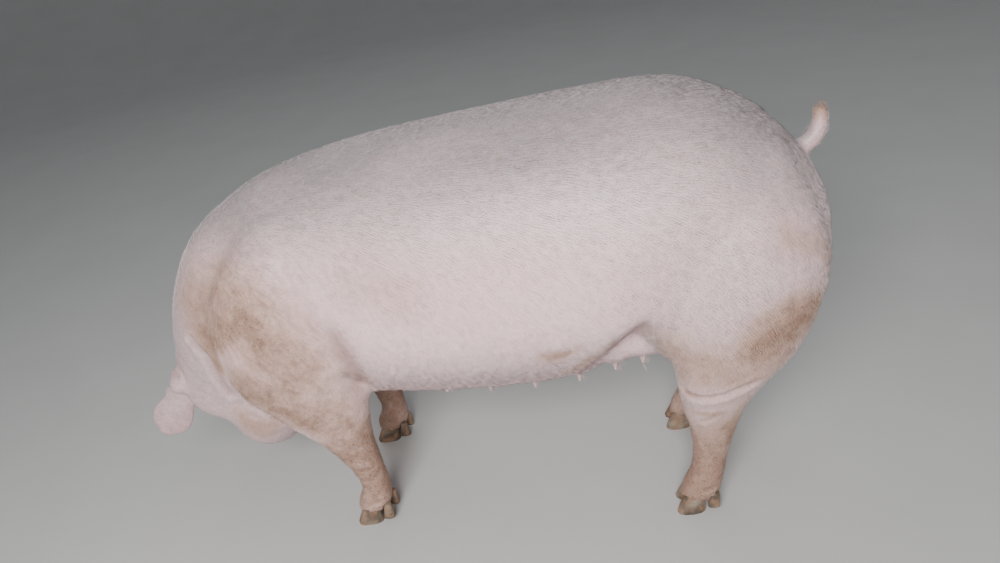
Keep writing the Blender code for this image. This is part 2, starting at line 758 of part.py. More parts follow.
def make_ear(name, hand):
    """A lop ear: a cupped blade that hangs from a broad root and ends in a round tip."""
    left = -hand
    root_along, root_out, root_up = EAR_ROOT[hand]
    root = on_head(root_along, left * root_out, root_up)
    outward, ahead = EAR_SPREAD[hand]
    along = (FORWARD * ahead + HEAD_LEFT * left * outward - CROWN * 0.08).normalized()
    root_hang, tip_hang = EAR_HANG[hand]
    down = Vector((0.0, 0.0, -1.0))
    across = (FORWARD * 0.20 - CROWN * 0.73 - HEAD_LEFT * left * 0.65).normalized()
    opening = FORWARD - HEAD_LEFT * left * 0.3 - CROWN * 0.3
    rows, columns = 11, 10
    centre = root.copy()
    grid = []
    for row in range(rows + 1):
        t = row / rows
        hang = root_hang + (tip_hang - root_hang) * t
        direction = (along * (1.0 - hang) + down * hang).normalized()
        if row:
            centre = centre + direction * (EAR_LENGTH / rows)
        wide = (across - direction * across.dot(direction)).normalized()
        inward = direction.cross(wide)
        if inward.dot(opening) < 0.0:
            inward.negate()
        curl = EAR_TIP_CURL + EAR_ROOT_CURL * (1.0 - t) ** 1.3
        radius = ear_half_width(t) / curl
        line = []
        for column in range(columns + 1):
            angle = (2.0 * column / columns - 1.0) * curl
            offset = wide * (radius * math.sin(angle)) + inward * (radius * (1 - math.cos(angle)))
            line.append(centre + offset)
        grid.append(line)
    builder = bmesh.new()
    verts = [[builder.verts.new(point) for point in line] for line in grid]
    for lower, upper in zip(verts, verts[1:]):
        for index in range(columns):
            corners = (lower[index], lower[index + 1], upper[index + 1], upper[index])
            builder.faces.new(corners)
    ear = object_from(name, builder, model)
    apply_modifier(ear, "SOLIDIFY", thickness=EAR_THICKNESS, offset=0.0, use_even_offset=False)
    pieces = new_collection("ear_root")
    ball("stub", root - along * 0.004, EAR_STUB, pieces, facing(along, across), 20)
    fuse(ear, pieces)
    return ear


# Tail, claws and teats


def make_tail():
    """A short tail held up, tapered to a blunt tip."""
    line = ((0.570, 0.000, 0.728), (0.600, 0.000, 0.748), (0.618, 0.002, 0.770), (0.622, 0.005, 0.792))
    line += ((0.618, 0.008, 0.812),)
    points = [Vector(row) for row in smooth_rows(line, 3)]
    count = len(points) - 1
    rings = []
    for index, point in enumerate(points):
        before, after = points[max(index - 1, 0)], points[min(index + 1, count)]
        ahead = (after - before).normalized()
        side = Vector((0, 1, 0))
        up = ahead.cross(side).normalized()
        t = index / count
        radius = TAIL_ROOT_RADIUS * (1 - t) + TAIL_TIP_RADIUS * t
        if index == count:
            radius *= 0.60
        rings.append(oval(point, side, up, radius, radius, radius, 2.0, 14))
    return loft("tail", rings, model)


def make_claw(name, x, y, hand, outer, size, lift, collection):
    """One cloven claw: a blunt wedge, flat under the sole when it stands on the floor."""
    splay = CLAW_SPLAY * outer * hand
    ahead = Vector((-math.cos(splay), math.sin(splay), 0.0))
    across = Vector((ahead.y, -ahead.x, 0.0))
    length, width, height = size
    rings = []
    for level, half_length, half_width, shift in CLAW_LEVELS:
        centre = Vector((x, y, lift + level * height)) + ahead * (shift * length)
        side, toe, heel = half_width * width, half_length * CLAW_TOE, half_length * CLAW_HEEL
        rings.append(oval(centre, across, ahead, side, toe * length, heel * length, 2.4, 12))
    return loft(name, rings, collection)


def make_foot(prefix, foot_x, track, hand, leg):
    """Two main claws on the floor and two dewclaws behind, set into the end of the leg."""
    claws = []
    claw_size = (CLAW_LENGTH, CLAW_WIDTH, CLAW_HEIGHT)
    for label, outer in (("inner", -1), ("outer", 1)):
        y = hand * (track + outer * CLAW_HALF_SPREAD)
        name = prefix + "_claw_" + label
        claws.append(make_claw(name, foot_x - CLAW_AHEAD, y, hand, outer, claw_size, 0.0, model))
        y = hand * (track + outer * DEWCLAW_HALF_SPREAD)
        name = prefix + "_dewclaw_" + label
        claws.append(
            make_claw(name, foot_x + DEWCLAW_BEHIND, y, hand, outer, DEWCLAW_SIZE, DEWCLAW_LIFT, model)
        )
    for claw in claws:
        trim_clear_of(leg, claw)
    return claws


def surface_below(tree, x, y):
    """The lowest flesh above a point of the floor."""
    hit = tree.ray_cast(Vector((x, y, 0.05)), Vector((0, 0, 1)))
    return hit[0]


def add_teats(torso):
    """Pairs of teats on a low udder ridge, from the groin to the brisket."""
    builder = bmesh.new()
    builder.from_mesh(torso.data)
    tree = BVHTree.FromBMesh(builder)
    builder.free()
    pieces = new_collection("teats")
    for pair, x in enumerate(teat_stations()):
        length = TEAT_LENGTH - TEAT_SHORTENING * pair
        for hand in (LEFT, RIGHT):
            y = hand * (TEAT_HALF_SPREAD - TEAT_DRAWING_IN * pair)
            root = surface_below(tree, x, y)
            if root is None:
                continue
            rings = []
            for level, radius in TEAT_PROFILE:
                depth = level if level > 0 else level * length
                centre = Vector((x, y + hand * max(0.0, -level) * TEAT_SPLAY, root.z + depth))
                rings.append(
                    oval(centre, Vector((0, 1, 0)), Vector((-1, 0, 0)), radius, radius, radius, 2.0, 8)
                )
            loft("teat", rings, pieces)
    fuse(torso, pieces)


def finish(obj, finish_material):
    obj.data.materials.clear()
    obj.data.materials.append(finish_material)
    obj.data.shade_smooth()
    obj.data.set_sharp_from_angle(angle=math.radians(50))


def stand_on_origin(objects):
    """Moves everything so that the box's floor centre is the origin."""
    points = [obj.matrix_world @ v.co for obj in objects for v in obj.data.vertices]
    low = [min(p[axis] for p in points) for axis in range(3)]
    high = [max(p[axis] for p in points) for axis in range(3)]
    shift = Vector((-(low[0] + high[0]) / 2, -(low[1] + high[1]) / 2, -low[2]))
    for obj in objects:
        obj.data.transform(Matrix.Translation(shift))
    print("shift", [round(value, 5) for value in shift])


clear_scene()
model = new_collection("sow")
helpers = new_collection("helpers")
helpers.hide_render = True

skin = material("skin", PINK, 0.55)
ear_skin = material("ear_skin", EAR_PINK, 0.55)
snout_skin = material("snout_skin", SNOUT_PINK, 0.42)
horn = material("claw_horn", HORN, 0.50)
eye_surface = material("eye_surface", EYE_BROWN, 0.10)

torso = make_flesh()
torso.name = "torso"
thin_out(torso, FLESH_TRIANGLES)
head, neck = part_head_and_neck(torso)
legs = {}
for side_name, hand in (("left", LEFT), ("right", RIGHT)):
    name = "front_leg_" + side_name
    legs[name] = part_leg(torso, name, hand, (-0.525, -0.285), (0.072, 0.335), math.radians(32))
    name = "hind_leg_" + side_name
    legs[name] = part_leg(torso, name, hand, (0.296, 0.70), (0.072, 0.368), math.radians(28))

add_mouth(head)
eyes = []
for side_name, hand in (("left", LEFT), ("right", RIGHT)):
    add_lids(head, hand)
    eyes.append(make_eye("eye_" + side_name, hand))
snout = make_snout()
trim_clear_of(head, snout)
ears = []
for side_name, hand in (("left", LEFT), ("right", RIGHT)):
    ear = make_ear("ear_" + side_name, hand)
    trim_clear_of(ear, head)
    trim_clear_of(ear, neck)
    ears.append(ear)
tail = make_tail()
trim_clear_of(tail, torso)
claws = []
for side_name, hand in (("left", LEFT), ("right", RIGHT)):
    front = legs["front_leg_" + side_name]
    step = RIGHT_FORE_STEP if hand == RIGHT else 0.0
    claws += make_foot("front_" + side_name, FRONT_FOOT_X + step, FRONT_TRACK_HALF, hand, front)
    hind = legs["hind_leg_" + side_name]
    claws += make_foot("hind_" + side_name, HIND_FOOT_X, HIND_TRACK_HALF, hand, hind)
add_teats(torso)

flesh_nodes = [torso, neck, head, tail] + list(legs.values())
for obj in flesh_nodes:
    finish(obj, skin)
for obj in ears:
    finish(obj, ear_skin)
finish(snout, snout_skin)
for obj in eyes:
    finish(obj, eye_surface)
for obj in claws:
    finish(obj, horn)
stand_on_origin(flesh_nodes + ears + [snout] + eyes + claws)
for obj in model.objects:
    obj.data.calc_loop_triangles()
    print(obj.name, len(obj.data.loop_triangles))
print("all", sum(len(obj.data.loop_triangles) for obj in model.objects))
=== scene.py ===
# %% [markdown]
# # A white sow, life size
# This notebook dresses the plain solids of a standing sow so that they look alive: one soft skin
# over all the flesh, short white bristles that lie along it, wet eyes and dull horn claws.
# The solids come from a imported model, and nothing here moves or resizes them. Everything is in
# metres, the floor is Z = 0, her head points towards -X and her left side towards -Y.

import json
import math

import bmesh
import bpy
import numpy as np
from mathutils import Matrix, Vector, noise
from mathutils.bvhtree import BVHTree

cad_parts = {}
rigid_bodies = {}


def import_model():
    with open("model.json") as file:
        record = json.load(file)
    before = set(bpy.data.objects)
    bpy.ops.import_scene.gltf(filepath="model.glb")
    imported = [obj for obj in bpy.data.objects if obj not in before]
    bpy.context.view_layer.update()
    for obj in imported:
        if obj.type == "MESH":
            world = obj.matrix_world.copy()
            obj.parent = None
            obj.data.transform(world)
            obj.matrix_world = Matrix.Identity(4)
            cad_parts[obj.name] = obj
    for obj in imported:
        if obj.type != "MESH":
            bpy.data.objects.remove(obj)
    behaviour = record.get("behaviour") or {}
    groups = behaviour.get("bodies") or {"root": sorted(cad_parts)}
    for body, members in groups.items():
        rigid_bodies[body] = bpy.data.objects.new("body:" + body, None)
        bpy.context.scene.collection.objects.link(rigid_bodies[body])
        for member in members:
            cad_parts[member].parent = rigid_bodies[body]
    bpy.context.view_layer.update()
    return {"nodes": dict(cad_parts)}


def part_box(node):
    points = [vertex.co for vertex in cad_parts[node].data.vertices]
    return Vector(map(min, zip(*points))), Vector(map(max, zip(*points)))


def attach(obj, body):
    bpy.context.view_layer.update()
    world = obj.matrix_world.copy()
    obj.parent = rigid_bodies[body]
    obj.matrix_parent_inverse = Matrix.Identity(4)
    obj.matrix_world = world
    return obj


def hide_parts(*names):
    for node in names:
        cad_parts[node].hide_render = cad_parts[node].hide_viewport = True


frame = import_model()
SCENE = bpy.context.scene

# %% [markdown]
# ## The camera
# The photograph looks down on the sow from a little above her back. The camera's place and turn
# were found by matching the outline and the four feet. A camera could also be aimed with a Track To
# constraint, but a matrix built from yaw, pitch and roll keeps the lean of the picture as well.

# %% Place the camera
CAMERA_PLACE = Vector((0.374, -1.339, 1.237))
CAMERA_YAW = math.radians(11.34)
CAMERA_PITCH = math.radians(28.14)
CAMERA_ROLL = math.radians(-10.31)
LENS_MM = 26.12


def aim(yaw, pitch, roll, place):
    """A camera matrix that looks along +Y, turned left by yaw, down by pitch and rolled."""
    ahead = Vector((-math.sin(yaw) * math.cos(pitch), math.cos(yaw) * math.cos(pitch), -math.sin(pitch)))
    level = ahead.cross(Vector((0, 0, 1))).normalized()
    upright = level.cross(ahead)
    right = math.cos(roll) * level + math.sin(roll) * upright
    up = math.cos(roll) * upright - math.sin(roll) * level
    turn = Matrix((right, up, -ahead)).transposed()
    return Matrix.Translation(place) @ turn.to_4x4()


camera_data = bpy.data.cameras.new("camera")
camera_data.lens = LENS_MM
camera = bpy.data.objects.new("camera", camera_data)
camera.matrix_world = aim(CAMERA_YAW, CAMERA_PITCH, CAMERA_ROLL, CAMERA_PLACE)
SCENE.collection.objects.link(camera)
SCENE.camera = camera
print("camera at", tuple(CAMERA_PLACE), "lens", LENS_MM, "mm")

# %% [markdown]
# ## Floor and light
# The floor is a large pale sheet with a faint mottle that sweeps up all round, as in a photographer's
# studio, so that no horizon cuts the picture. A profile turned round in a loop makes it. The light in
# the photograph comes from the open side behind the camera, which is why her flank is brighter
# than her back. One big soft light there and a weak one overhead copy that. A pale sky and a faint,
# very wide sun behind her keep her other side and her turned face readable. The sun is low, so it
# hardly reaches her back, and it has no edge that could draw a line on the floor.

# %% Shader helpers
def new_material(name):
    """A material with only a Principled BSDF and its output."""
    made = bpy.data.materials.new(name)
    made.use_nodes = True
    shader = made.node_tree.nodes["Principled BSDF"]
    return made, made.node_tree, shader


def feed(tree, socket, value):
    """Gives a socket its value: a link where the value is a socket, or else a plain number or colour."""
    if isinstance(value, bpy.types.NodeSocket):
        tree.links.new(value, socket)
    else:
        socket.default_value = value


def object_noise(tree, scale, detail=2.0, stretch=(1, 1, 1), turn=(0, 0, 0)):
    """The Fac output of a noise on Object coordinates, stretched and turned as asked."""
    place = tree.nodes.new("ShaderNodeTexCoord")
    mapping = tree.nodes.new("ShaderNodeMapping")
    mapping.inputs["Rotation"].default_value = turn
    mapping.inputs["Scale"].default_value = stretch
    tree.links.new(place.outputs["Object"], mapping.inputs["Vector"])
    texture = tree.nodes.new("ShaderNodeTexNoise")
    texture.inputs["Scale"].default_value = scale
    texture.inputs["Detail"].default_value = detail
    tree.links.new(mapping.outputs["Vector"], texture.inputs["Vector"])
    return texture.outputs["Fac"]


def ramp(tree, value, low, high):
    """value taken from low..high to 0..1, smoothly."""
    node = tree.nodes.new("ShaderNodeMapRange")
    node.interpolation_type = "SMOOTHSTEP"
    node.inputs["From Min"].default_value = low
    node.inputs["From Max"].default_value = high
    tree.links.new(value, node.inputs["Value"])
    return node.outputs["Result"]


def math_node(tree, operation, a, b):
    """One Math node; a and b are sockets or numbers."""
    node = tree.nodes.new("ShaderNodeMath")
    node.operation = operation
    feed(tree, node.inputs[0], a)
    feed(tree, node.inputs[1], b)
    return node.outputs[0]


def mix_colour(tree, amount, a, b):
    """One Mix node on colours; each input is a socket or a plain value."""
    node = tree.nodes.new("ShaderNodeMix")
    node.data_type = "RGBA"
    for name, value in (("Factor_Float", amount), ("A_Color", a), ("B_Color", b)):
        feed(tree, next(s for s in node.inputs if s.identifier == name), value)
    return next(s for s in node.outputs if s.identifier == "Result_Color")


def times(tree, a, b):
    """a multiplied by b; each is a socket or a number."""
    return math_node(tree, "MULTIPLY", a, b)


def roughness(tree, shader, soiled, clean_value, soiled_value):
    """Feeds the shader's Roughness: clean_value where soiled is 0, soiled_value where it is 1."""
    node = tree.nodes.new("ShaderNodeMapRange")
    node.inputs["To Min"].default_value = clean_value
    node.inputs["To Max"].default_value = soiled_value
    tree.links.new(soiled, node.inputs["Value"])
    tree.links.new(node.outputs["Result"], shader.inputs["Roughness"])


def bump(tree, shader, height, distance, strength=1.0):
    """Feeds height, in parts of distance (metres), to the shader's Normal."""
    node = tree.nodes.new("ShaderNodeBump")
    node.inputs["Strength"].default_value = strength
    node.inputs["Distance"].default_value = distance
    tree.links.new(height, node.inputs["Height"])
    tree.links.new(node.outputs["Normal"], shader.inputs["Normal"])


print("shader helpers ready for Blender", bpy.app.version_string)

# %% Lay the floor and set the lights
FLAT_RADIUS = 6.5
RISE_RADIUS = 5.0
RISE_STEPS = 16
RISE_ANGLE = math.radians(80)
FLOOR_SIDES = 96
FLOOR_PALE = (0.52, 0.52, 0.51, 1)
FLOOR_GREY = (0.46, 0.46, 0.45, 1)
FAR_GLOW_ANGLE = math.radians(70)
SKY_COLOUR = (0.86, 0.90, 0.94, 1)
SKY_STRENGTH = 0.24

profile = [(FLAT_RADIUS * part, 0.0) for part in (0.25, 0.5, 0.75, 1.0)]
for step in range(1, RISE_STEPS + 1):
    angle = RISE_ANGLE * step / RISE_STEPS
    profile.append((FLAT_RADIUS + RISE_RADIUS * math.sin(angle), RISE_RADIUS * (1 - math.cos(angle))))
turns = [2 * math.pi * side / FLOOR_SIDES for side in range(FLOOR_SIDES)]
corners = [(0.0, 0.0, 0.0)] + [(r * math.cos(t), r * math.sin(t), h) for r, h in profile for t in turns]
faces = [(0, 1 + side, 1 + (side + 1) % FLOOR_SIDES) for side in range(FLOOR_SIDES)]
for ring in range(len(profile) - 1):
    for side in range(FLOOR_SIDES):
        after = (side + 1) % FLOOR_SIDES
        inner, outer = 1 + ring * FLOOR_SIDES, 1 + (ring + 1) * FLOOR_SIDES
        faces.append((inner + side, outer + side, outer + after, inner + after))
floor_mesh = bpy.data.meshes.new("floor")
floor_mesh.from_pydata(corners, [], faces)
floor_mesh.shade_smooth()
floor = bpy.data.objects.new("floor", floor_mesh)
SCENE.collection.objects.link(floor)
floor_material, tree, shader = new_material("floor_matte")
mottle = object_noise(tree, 3.0, detail=4.0)
tree.links.new(mix_colour(tree, mottle, FLOOR_PALE, FLOOR_GREY), shader.inputs["Base Color"])
shader.inputs["Roughness"].default_value = 0.85
floor_mesh.materials.append(floor_material)


def add_light(name, kind, heading, power, colour):
    """A light that shines along heading, with its data returned for its own size."""
    data = bpy.data.lights.new(name, kind)
    data.energy = power
    data.color = colour
    made = bpy.data.objects.new(name, data)
    made.rotation_euler = heading.to_track_quat("-Z", "Y").to_euler()
    SCENE.collection.objects.link(made)
    return made, data


def area_light(name, place, target, size, power, colour):
    """A square soft light at place that faces target."""
    made, data = add_light(name, "AREA", Vector(target) - Vector(place), power, colour)
    made.location = place
    data.size = size


area_light("open_side", (0.0, -2.4, 1.8), (-0.05, 0, 0.62), 1.3, 124, (1.0, 0.985, 0.975))
area_light("roof_glow", (0.6, 0.8, 4.0), (0, 0, 0.5), 3.5, 12, (0.95, 0.98, 1.0))
far_glow = add_light("far_glow", "SUN", Vector((0.45, -1.0, -0.32)), 1.3, (0.97, 0.985, 1.0))[1]
far_glow.angle = FAR_GLOW_ANGLE

world = bpy.data.worlds.new("pale_sky")
world.use_nodes = True
sky = world.node_tree.nodes["Background"]
sky.inputs["Color"].default_value = SKY_COLOUR
sky.inputs["Strength"].default_value = SKY_STRENGTH
SCENE.world = world

# %% [markdown]
# ## One skin over all the flesh
# The solids part the body into head, neck, torso and legs with cuts as thin as a hair. A real skin
# has no seams, so copies of these nodes are welded, swollen by half the cut and poured together by
# a voxel remesh. A Boolean union would also join them, but it keeps the flat facets; the remesh
# gives an even net of small squares that can be smoothed and modelled like clay.

# %% Gather the flesh
EARS = ("ear_left", "ear_right")
LEGS = ("front_leg_left", "front_leg_right", "hind_leg_left", "hind_leg_right")
FLESH = ["torso", "neck", "head", "snout", "tail", *EARS, *LEGS]
CUT_SWELL = 0.0004
WELD = 0.00001
SKIN_VOXEL = 0.0027


def welded_copy(name):
    """The node's loose triangles joined at their corners, as a bmesh."""
    body = bmesh.new()
    body.from_mesh(frame["nodes"][name].data)
    bmesh.ops.remove_doubles(body, verts=body.verts, dist=WELD)
    body.normal_update()
    return body


flesh = bmesh.new()
facet_node = []
for name in FLESH:
    part = welded_copy(name)
    for vert in part.verts:
        vert.co += vert.normal * CUT_SWELL
    swollen = bpy.data.meshes.new("swollen")
    part.to_mesh(swollen)
    flesh.from_mesh(swollen)
    facet_node += [FLESH.index(name)] * len(swollen.polygons)
    bpy.data.meshes.remove(swollen)
    part.free()
flesh_facets = BVHTree.FromBMesh(flesh)
facet_size = np.sqrt([face.calc_area() for face in flesh.faces])
facet_node = np.array(facet_node)
skin_mesh = bpy.data.meshes.new("skin")
flesh.to_mesh(skin_mesh)
flesh.free()
skin = bpy.data.objects.new("skin", skin_mesh)
SCENE.collection.objects.link(skin)
print("flesh facets:", len(facet_node), "from", len(FLESH), "nodes")


# %% Remesh it
def settle(obj):
    """Replaces the object's mesh with its evaluated one and drops its modifiers."""
    graph = bpy.context.evaluated_depsgraph_get()
    made = bpy.data.meshes.new_from_object(obj.evaluated_get(graph))
    old = obj.data
    obj.modifiers.clear()
    obj.data = made
    bpy.data.meshes.remove(old)


def edge_ends(obj):
    """The two vertex numbers of every edge, as an (n, 2) array."""
    flat = np.empty(len(obj.data.edges) * 2, np.int32)
    obj.data.edges.foreach_get("vertices", flat)
    return flat.reshape(-1, 2)


def island_numbers(obj):
    """A number for each vertex, the same for all vertices of one closed surface."""
    number = np.arange(len(obj.data.vertices))
    ends = edge_ends(obj)
    while True:
        low = np.minimum(number[ends[:, 0]], number[ends[:, 1]])
        before = number.copy()
        np.minimum.at(number, ends[:, 0], low)
        np.minimum.at(number, ends[:, 1], low)
        number = number[number]
        if (number == before).all():
            return number


def keep_largest_island(obj):
    """Keeps only the biggest closed surface and returns how many were dropped."""
    number = island_numbers(obj)
    kinds, counts = np.unique(number, return_counts=True)
    if len(kinds) > 1:
        stray = np.nonzero(number != kinds[counts.argmax()])[0]
        body = bmesh.new()
        body.from_mesh(obj.data)
        body.verts.ensure_lookup_table()
        bmesh.ops.delete(body, geom=[body.verts[i] for i in stray], context="VERTS")
        body.to_mesh(obj.data)
        body.free()
    return len(kinds) - 1


remesh = skin.modifiers.new("remesh", "REMESH")
remesh.mode = "VOXEL"
remesh.voxel_size = SKIN_VOXEL
settle(skin)
print("dropped", keep_largest_island(skin), "bubbles; net of", len(skin.data.vertices), "points")


# %% Helpers that read and write the net as arrays
def points_of(obj):
    """All vertex places as an (n, 3) array."""
    flat = np.empty(len(obj.data.vertices) * 3, np.float32)
    obj.data.vertices.foreach_get("co", flat)
    return flat.reshape(-1, 3).astype(float)


def normals_of(obj):
    """All vertex normals as an (n, 3) array."""
    flat = np.empty(len(obj.data.vertices) * 3, np.float32)
    obj.data.vertex_normals.foreach_get("vector", flat)
    return flat.reshape(-1, 3).astype(float)


def set_points(obj, places):
    """Writes an (n, 3) array back as vertex places."""
    obj.data.vertices.foreach_set("co", places.astype(np.float32).ravel())
    obj.data.update()


def nearest_facets(places):
    """For each place, the index of the solids' nearest facet."""
    return np.array([flesh_facets.find_nearest(Vector(p))[2] for p in places])


print("the net is", np.ptp(points_of(skin), axis=0).round(3), "m long, wide and high")

# %% [markdown]
# ## Melting the facets away
# Large facets need much smoothing and the small ones of the lids, teats and snout hardly any. So the
# smoothing is weighted by the size of the facet under each point: broad on the barrel, light on the
# face, and a little more along the cuts. A second, wider pass softens only the borders high on the
# body and the roots of the ears, where the cut would still show as a line. The whole skin then sinks
# by the depth of the coat, which leaves room for the bristles.

# %% Helpers for weighted smoothing
SMOOTH_ROUNDS = 90
SMOOTH_REACH = 0.36
WEIGHT_STEPS = 24
LEAST_WEIGHT = 0.002
CUT_SPREAD = 16
CUT_WEIGHT = 0.30
CUT_GAIN = 3.0


def rising(values, start, over):
    """0 up to start, then straight up to 1 within over."""
    return np.clip((values - start) / over, 0, 1)


def falling(values, end, over):
    """1 far below end, and straight down to 0 there within over."""
    return np.clip((end - values) / over, 0, 1)


def average_over_net(values, ends, rounds):
    """Each value replaced, many times, by the mean of itself and its neighbours."""
    counts = np.bincount(ends.ravel(), minlength=len(values))[:, None]
    for _ in range(rounds):
        total = np.zeros_like(values)
        np.add.at(total, ends[:, 0], values[ends[:, 1]])
        np.add.at(total, ends[:, 1], values[ends[:, 0]])
        values = 0.5 * values + 0.5 * total / counts
    return values


def near_cuts(ends, node_numbers, rounds):
    """1 close to where two nodes meet, fading over the given rounds of averaging."""
    crossing = node_numbers[ends[:, 0]] != node_numbers[ends[:, 1]]
    mark = np.zeros((len(node_numbers), 1))
    mark[ends[crossing].ravel()] = 1.0
    return np.clip(CUT_GAIN * average_over_net(mark, ends, rounds)[:, 0], 0, 1)


def over_nodes(node_numbers, names):
    """Which points lie over the nodes with those names."""
    return np.isin(node_numbers, [FLESH.index(name) for name in names])


def in_steps(values):
    """Values from 0 to 1 rounded to a few steps, because points join a group one weight at a time."""
    return np.round(WEIGHT_STEPS * values) / WEIGHT_STEPS


def smooth_by_weight(obj, weights, rounds):
    """Smooths each point as strongly as its weight from 0 to 1 says."""
    group = obj.vertex_groups.new(name="weight")
    for weight in np.unique(weights[weights > 0]):
        chosen = np.nonzero(weights == weight)[0]
        group.add(chosen.tolist(), float(weight), "REPLACE")
    smooth = obj.modifiers.new("smooth", "SMOOTH")
    smooth.factor = 0.5
    smooth.iterations = rounds
    smooth.vertex_group = "weight"
    settle(obj)
    obj.vertex_groups.clear()


print("weights come in", WEIGHT_STEPS, "steps, least", LEAST_WEIGHT)

# %% Smooth by facet size
nearest = nearest_facets(points_of(skin))
net_node = facet_node[nearest]
one_round = 0.25 * SKIN_VOXEL ** 2
wanted = (SMOOTH_REACH * facet_size[nearest]) ** 2 / (one_round * SMOOTH_ROUNDS)
wanted = np.maximum(wanted, CUT_WEIGHT * near_cuts(edge_ends(skin), net_node, CUT_SPREAD))
stepped = in_steps(np.sqrt(np.clip(wanted, 0, 1)))
smooth_by_weight(skin, np.maximum(LEAST_WEIGHT, stepped ** 2), SMOOTH_ROUNDS)
print("smoothing asked for from", round(float(wanted.min()), 4), "to", round(float(wanted.max()), 2))

# %% Soften the high borders and the roots of the ears
BORDER_SOFT_FROM = 0.52
BORDER_SOFT_OVER = 0.06
BORDER_SPREAD = 60
BORDER_ROUNDS = 160
EAR_ROOT_SOFT = 0.60
EAR_ROOT_EDGE = 0.02

ends = edge_ends(skin)
high = rising(points_of(skin)[:, 2], BORDER_SOFT_FROM, BORDER_SOFT_OVER)
on_ears = over_nodes(net_node, EARS).astype(float)
by_ears = average_over_net(on_ears[:, None], ends, BORDER_SPREAD)[:, 0] > EAR_ROOT_EDGE
border = near_cuts(ends, net_node, BORDER_SPREAD) * np.maximum(high, EAR_ROOT_SOFT * by_ears)
smooth_by_weight(skin, in_steps(border), BORDER_ROUNDS)
print("points softened at borders:", int((border > 0).sum()))

# %% Sink the skin by the coat's depth
COAT_DEPTH = 0.0022
BARE_DEPTH = 0.0003
BARE_NODES = ("snout", *EARS)

depth = np.where(over_nodes(net_node, BARE_NODES), BARE_DEPTH, COAT_DEPTH)
set_points(skin, points_of(skin) - normals_of(skin) * depth[:, None])
print("skin sunk by", COAT_DEPTH * 1000, "mm, bare nodes by", BARE_DEPTH * 1000, "mm")

# %% [markdown]
# ## Places on the body
# Folds, marks and the lie of the coat need places to hang on. Those on the head are given along the
# head's own axes, which are worked out from the eyes and the snout, so that they turn with it.

# %% The head's own axes
EYE_ALONG, EYE_UP = 0.120, 0.040
SNOUT_ALONG, SNOUT_UP = 0.351, 0.002


def centre_of(node):
    """The middle of a node's box."""
    low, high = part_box(node)
    return (low + high) / 2


EYES = {side: centre_of("eye_" + side) for side in ("left", "right")}
LEFTWARD = (EYES["left"] - EYES["right"]).normalized()
between_eyes = (EYES["left"] + EYES["right"]) / 2
to_snout = centre_of("snout") - between_eyes
to_snout -= LEFTWARD * to_snout.dot(LEFTWARD)
lean = math.atan2(EYE_UP - SNOUT_UP, SNOUT_ALONG - EYE_ALONG)
FORWARD = (Matrix.Rotation(lean, 3, LEFTWARD) @ to_snout).normalized()
if (Matrix.Rotation(-lean, 3, LEFTWARD) @ to_snout).normalized().z > FORWARD.z:
    FORWARD = (Matrix.Rotation(-lean, 3, LEFTWARD) @ to_snout).normalized()
CROWN = LEFTWARD.cross(FORWARD)
if CROWN.z < 0:
    CROWN = -CROWN
POLL = between_eyes - FORWARD * EYE_ALONG - CROWN * EYE_UP
HEAD_AXES = np.array([FORWARD, LEFTWARD, CROWN])


def on_head(along, left, up):
    """A point of the head from its distance ahead of the poll, to the left and to the crown."""
    return POLL + FORWARD * along + LEFTWARD * left + CROWN * up


def head_coordinates(places):
    """The same for many points the other way: columns along, left and up."""
    return (places - np.array(POLL)) @ HEAD_AXES.T


print("head looks along", [round(v, 3) for v in FORWARD], "crown", [round(v, 3) for v in CROWN])


# %% Soft masks round lines and points
MIDDLE_Y = (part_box("hind_leg_left")[0].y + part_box("hind_leg_right")[1].y) / 2


def near_line(places, points, width):
    """A mask, 1 on the line through the points and softly less over width, and the distances."""
    best = np.full(len(places), 1e9)
    line = np.array([tuple(p) for p in points], float)
    for start, end in zip(line, line[1:]):
        span = end - start
        along = np.clip(((places - start) @ span) / (span @ span), 0, 1)
        gap = np.linalg.norm(places - start - along[:, None] * span, axis=1)
        best = np.minimum(best, gap)
    return np.exp(-((best / width) ** 2)), best


def near_point(places, centre, radii):
    """1 at the centre, falling off softly over the three radii."""
    away = (places - np.array(tuple(centre))) / np.array(radii)
    return np.exp(-(away ** 2).sum(1))


def mirrored(points):
    """The same points on her other side."""
    return [(x, 2 * MIDDLE_Y - y, z) for x, y, z in points]


print("her middle is at Y =", round(MIDDLE_Y, 4))

# %% [markdown]
# ## Folds in the hide
# Thick skin folds where the body bends: in front of the shoulder, behind the arm, under the thigh and
# round the hock and the pasterns. Each fold is a line laid on the skin, with a width and a depth. The
# skin is pressed in along it and swells a little on both sides, as real skin does when it bunches.
# Those of the body are mirrored. Those of the neck are her left side's alone, because her head is
# turned, and one of them has a depth below zero, so that it fills the waist at the root of the ear.

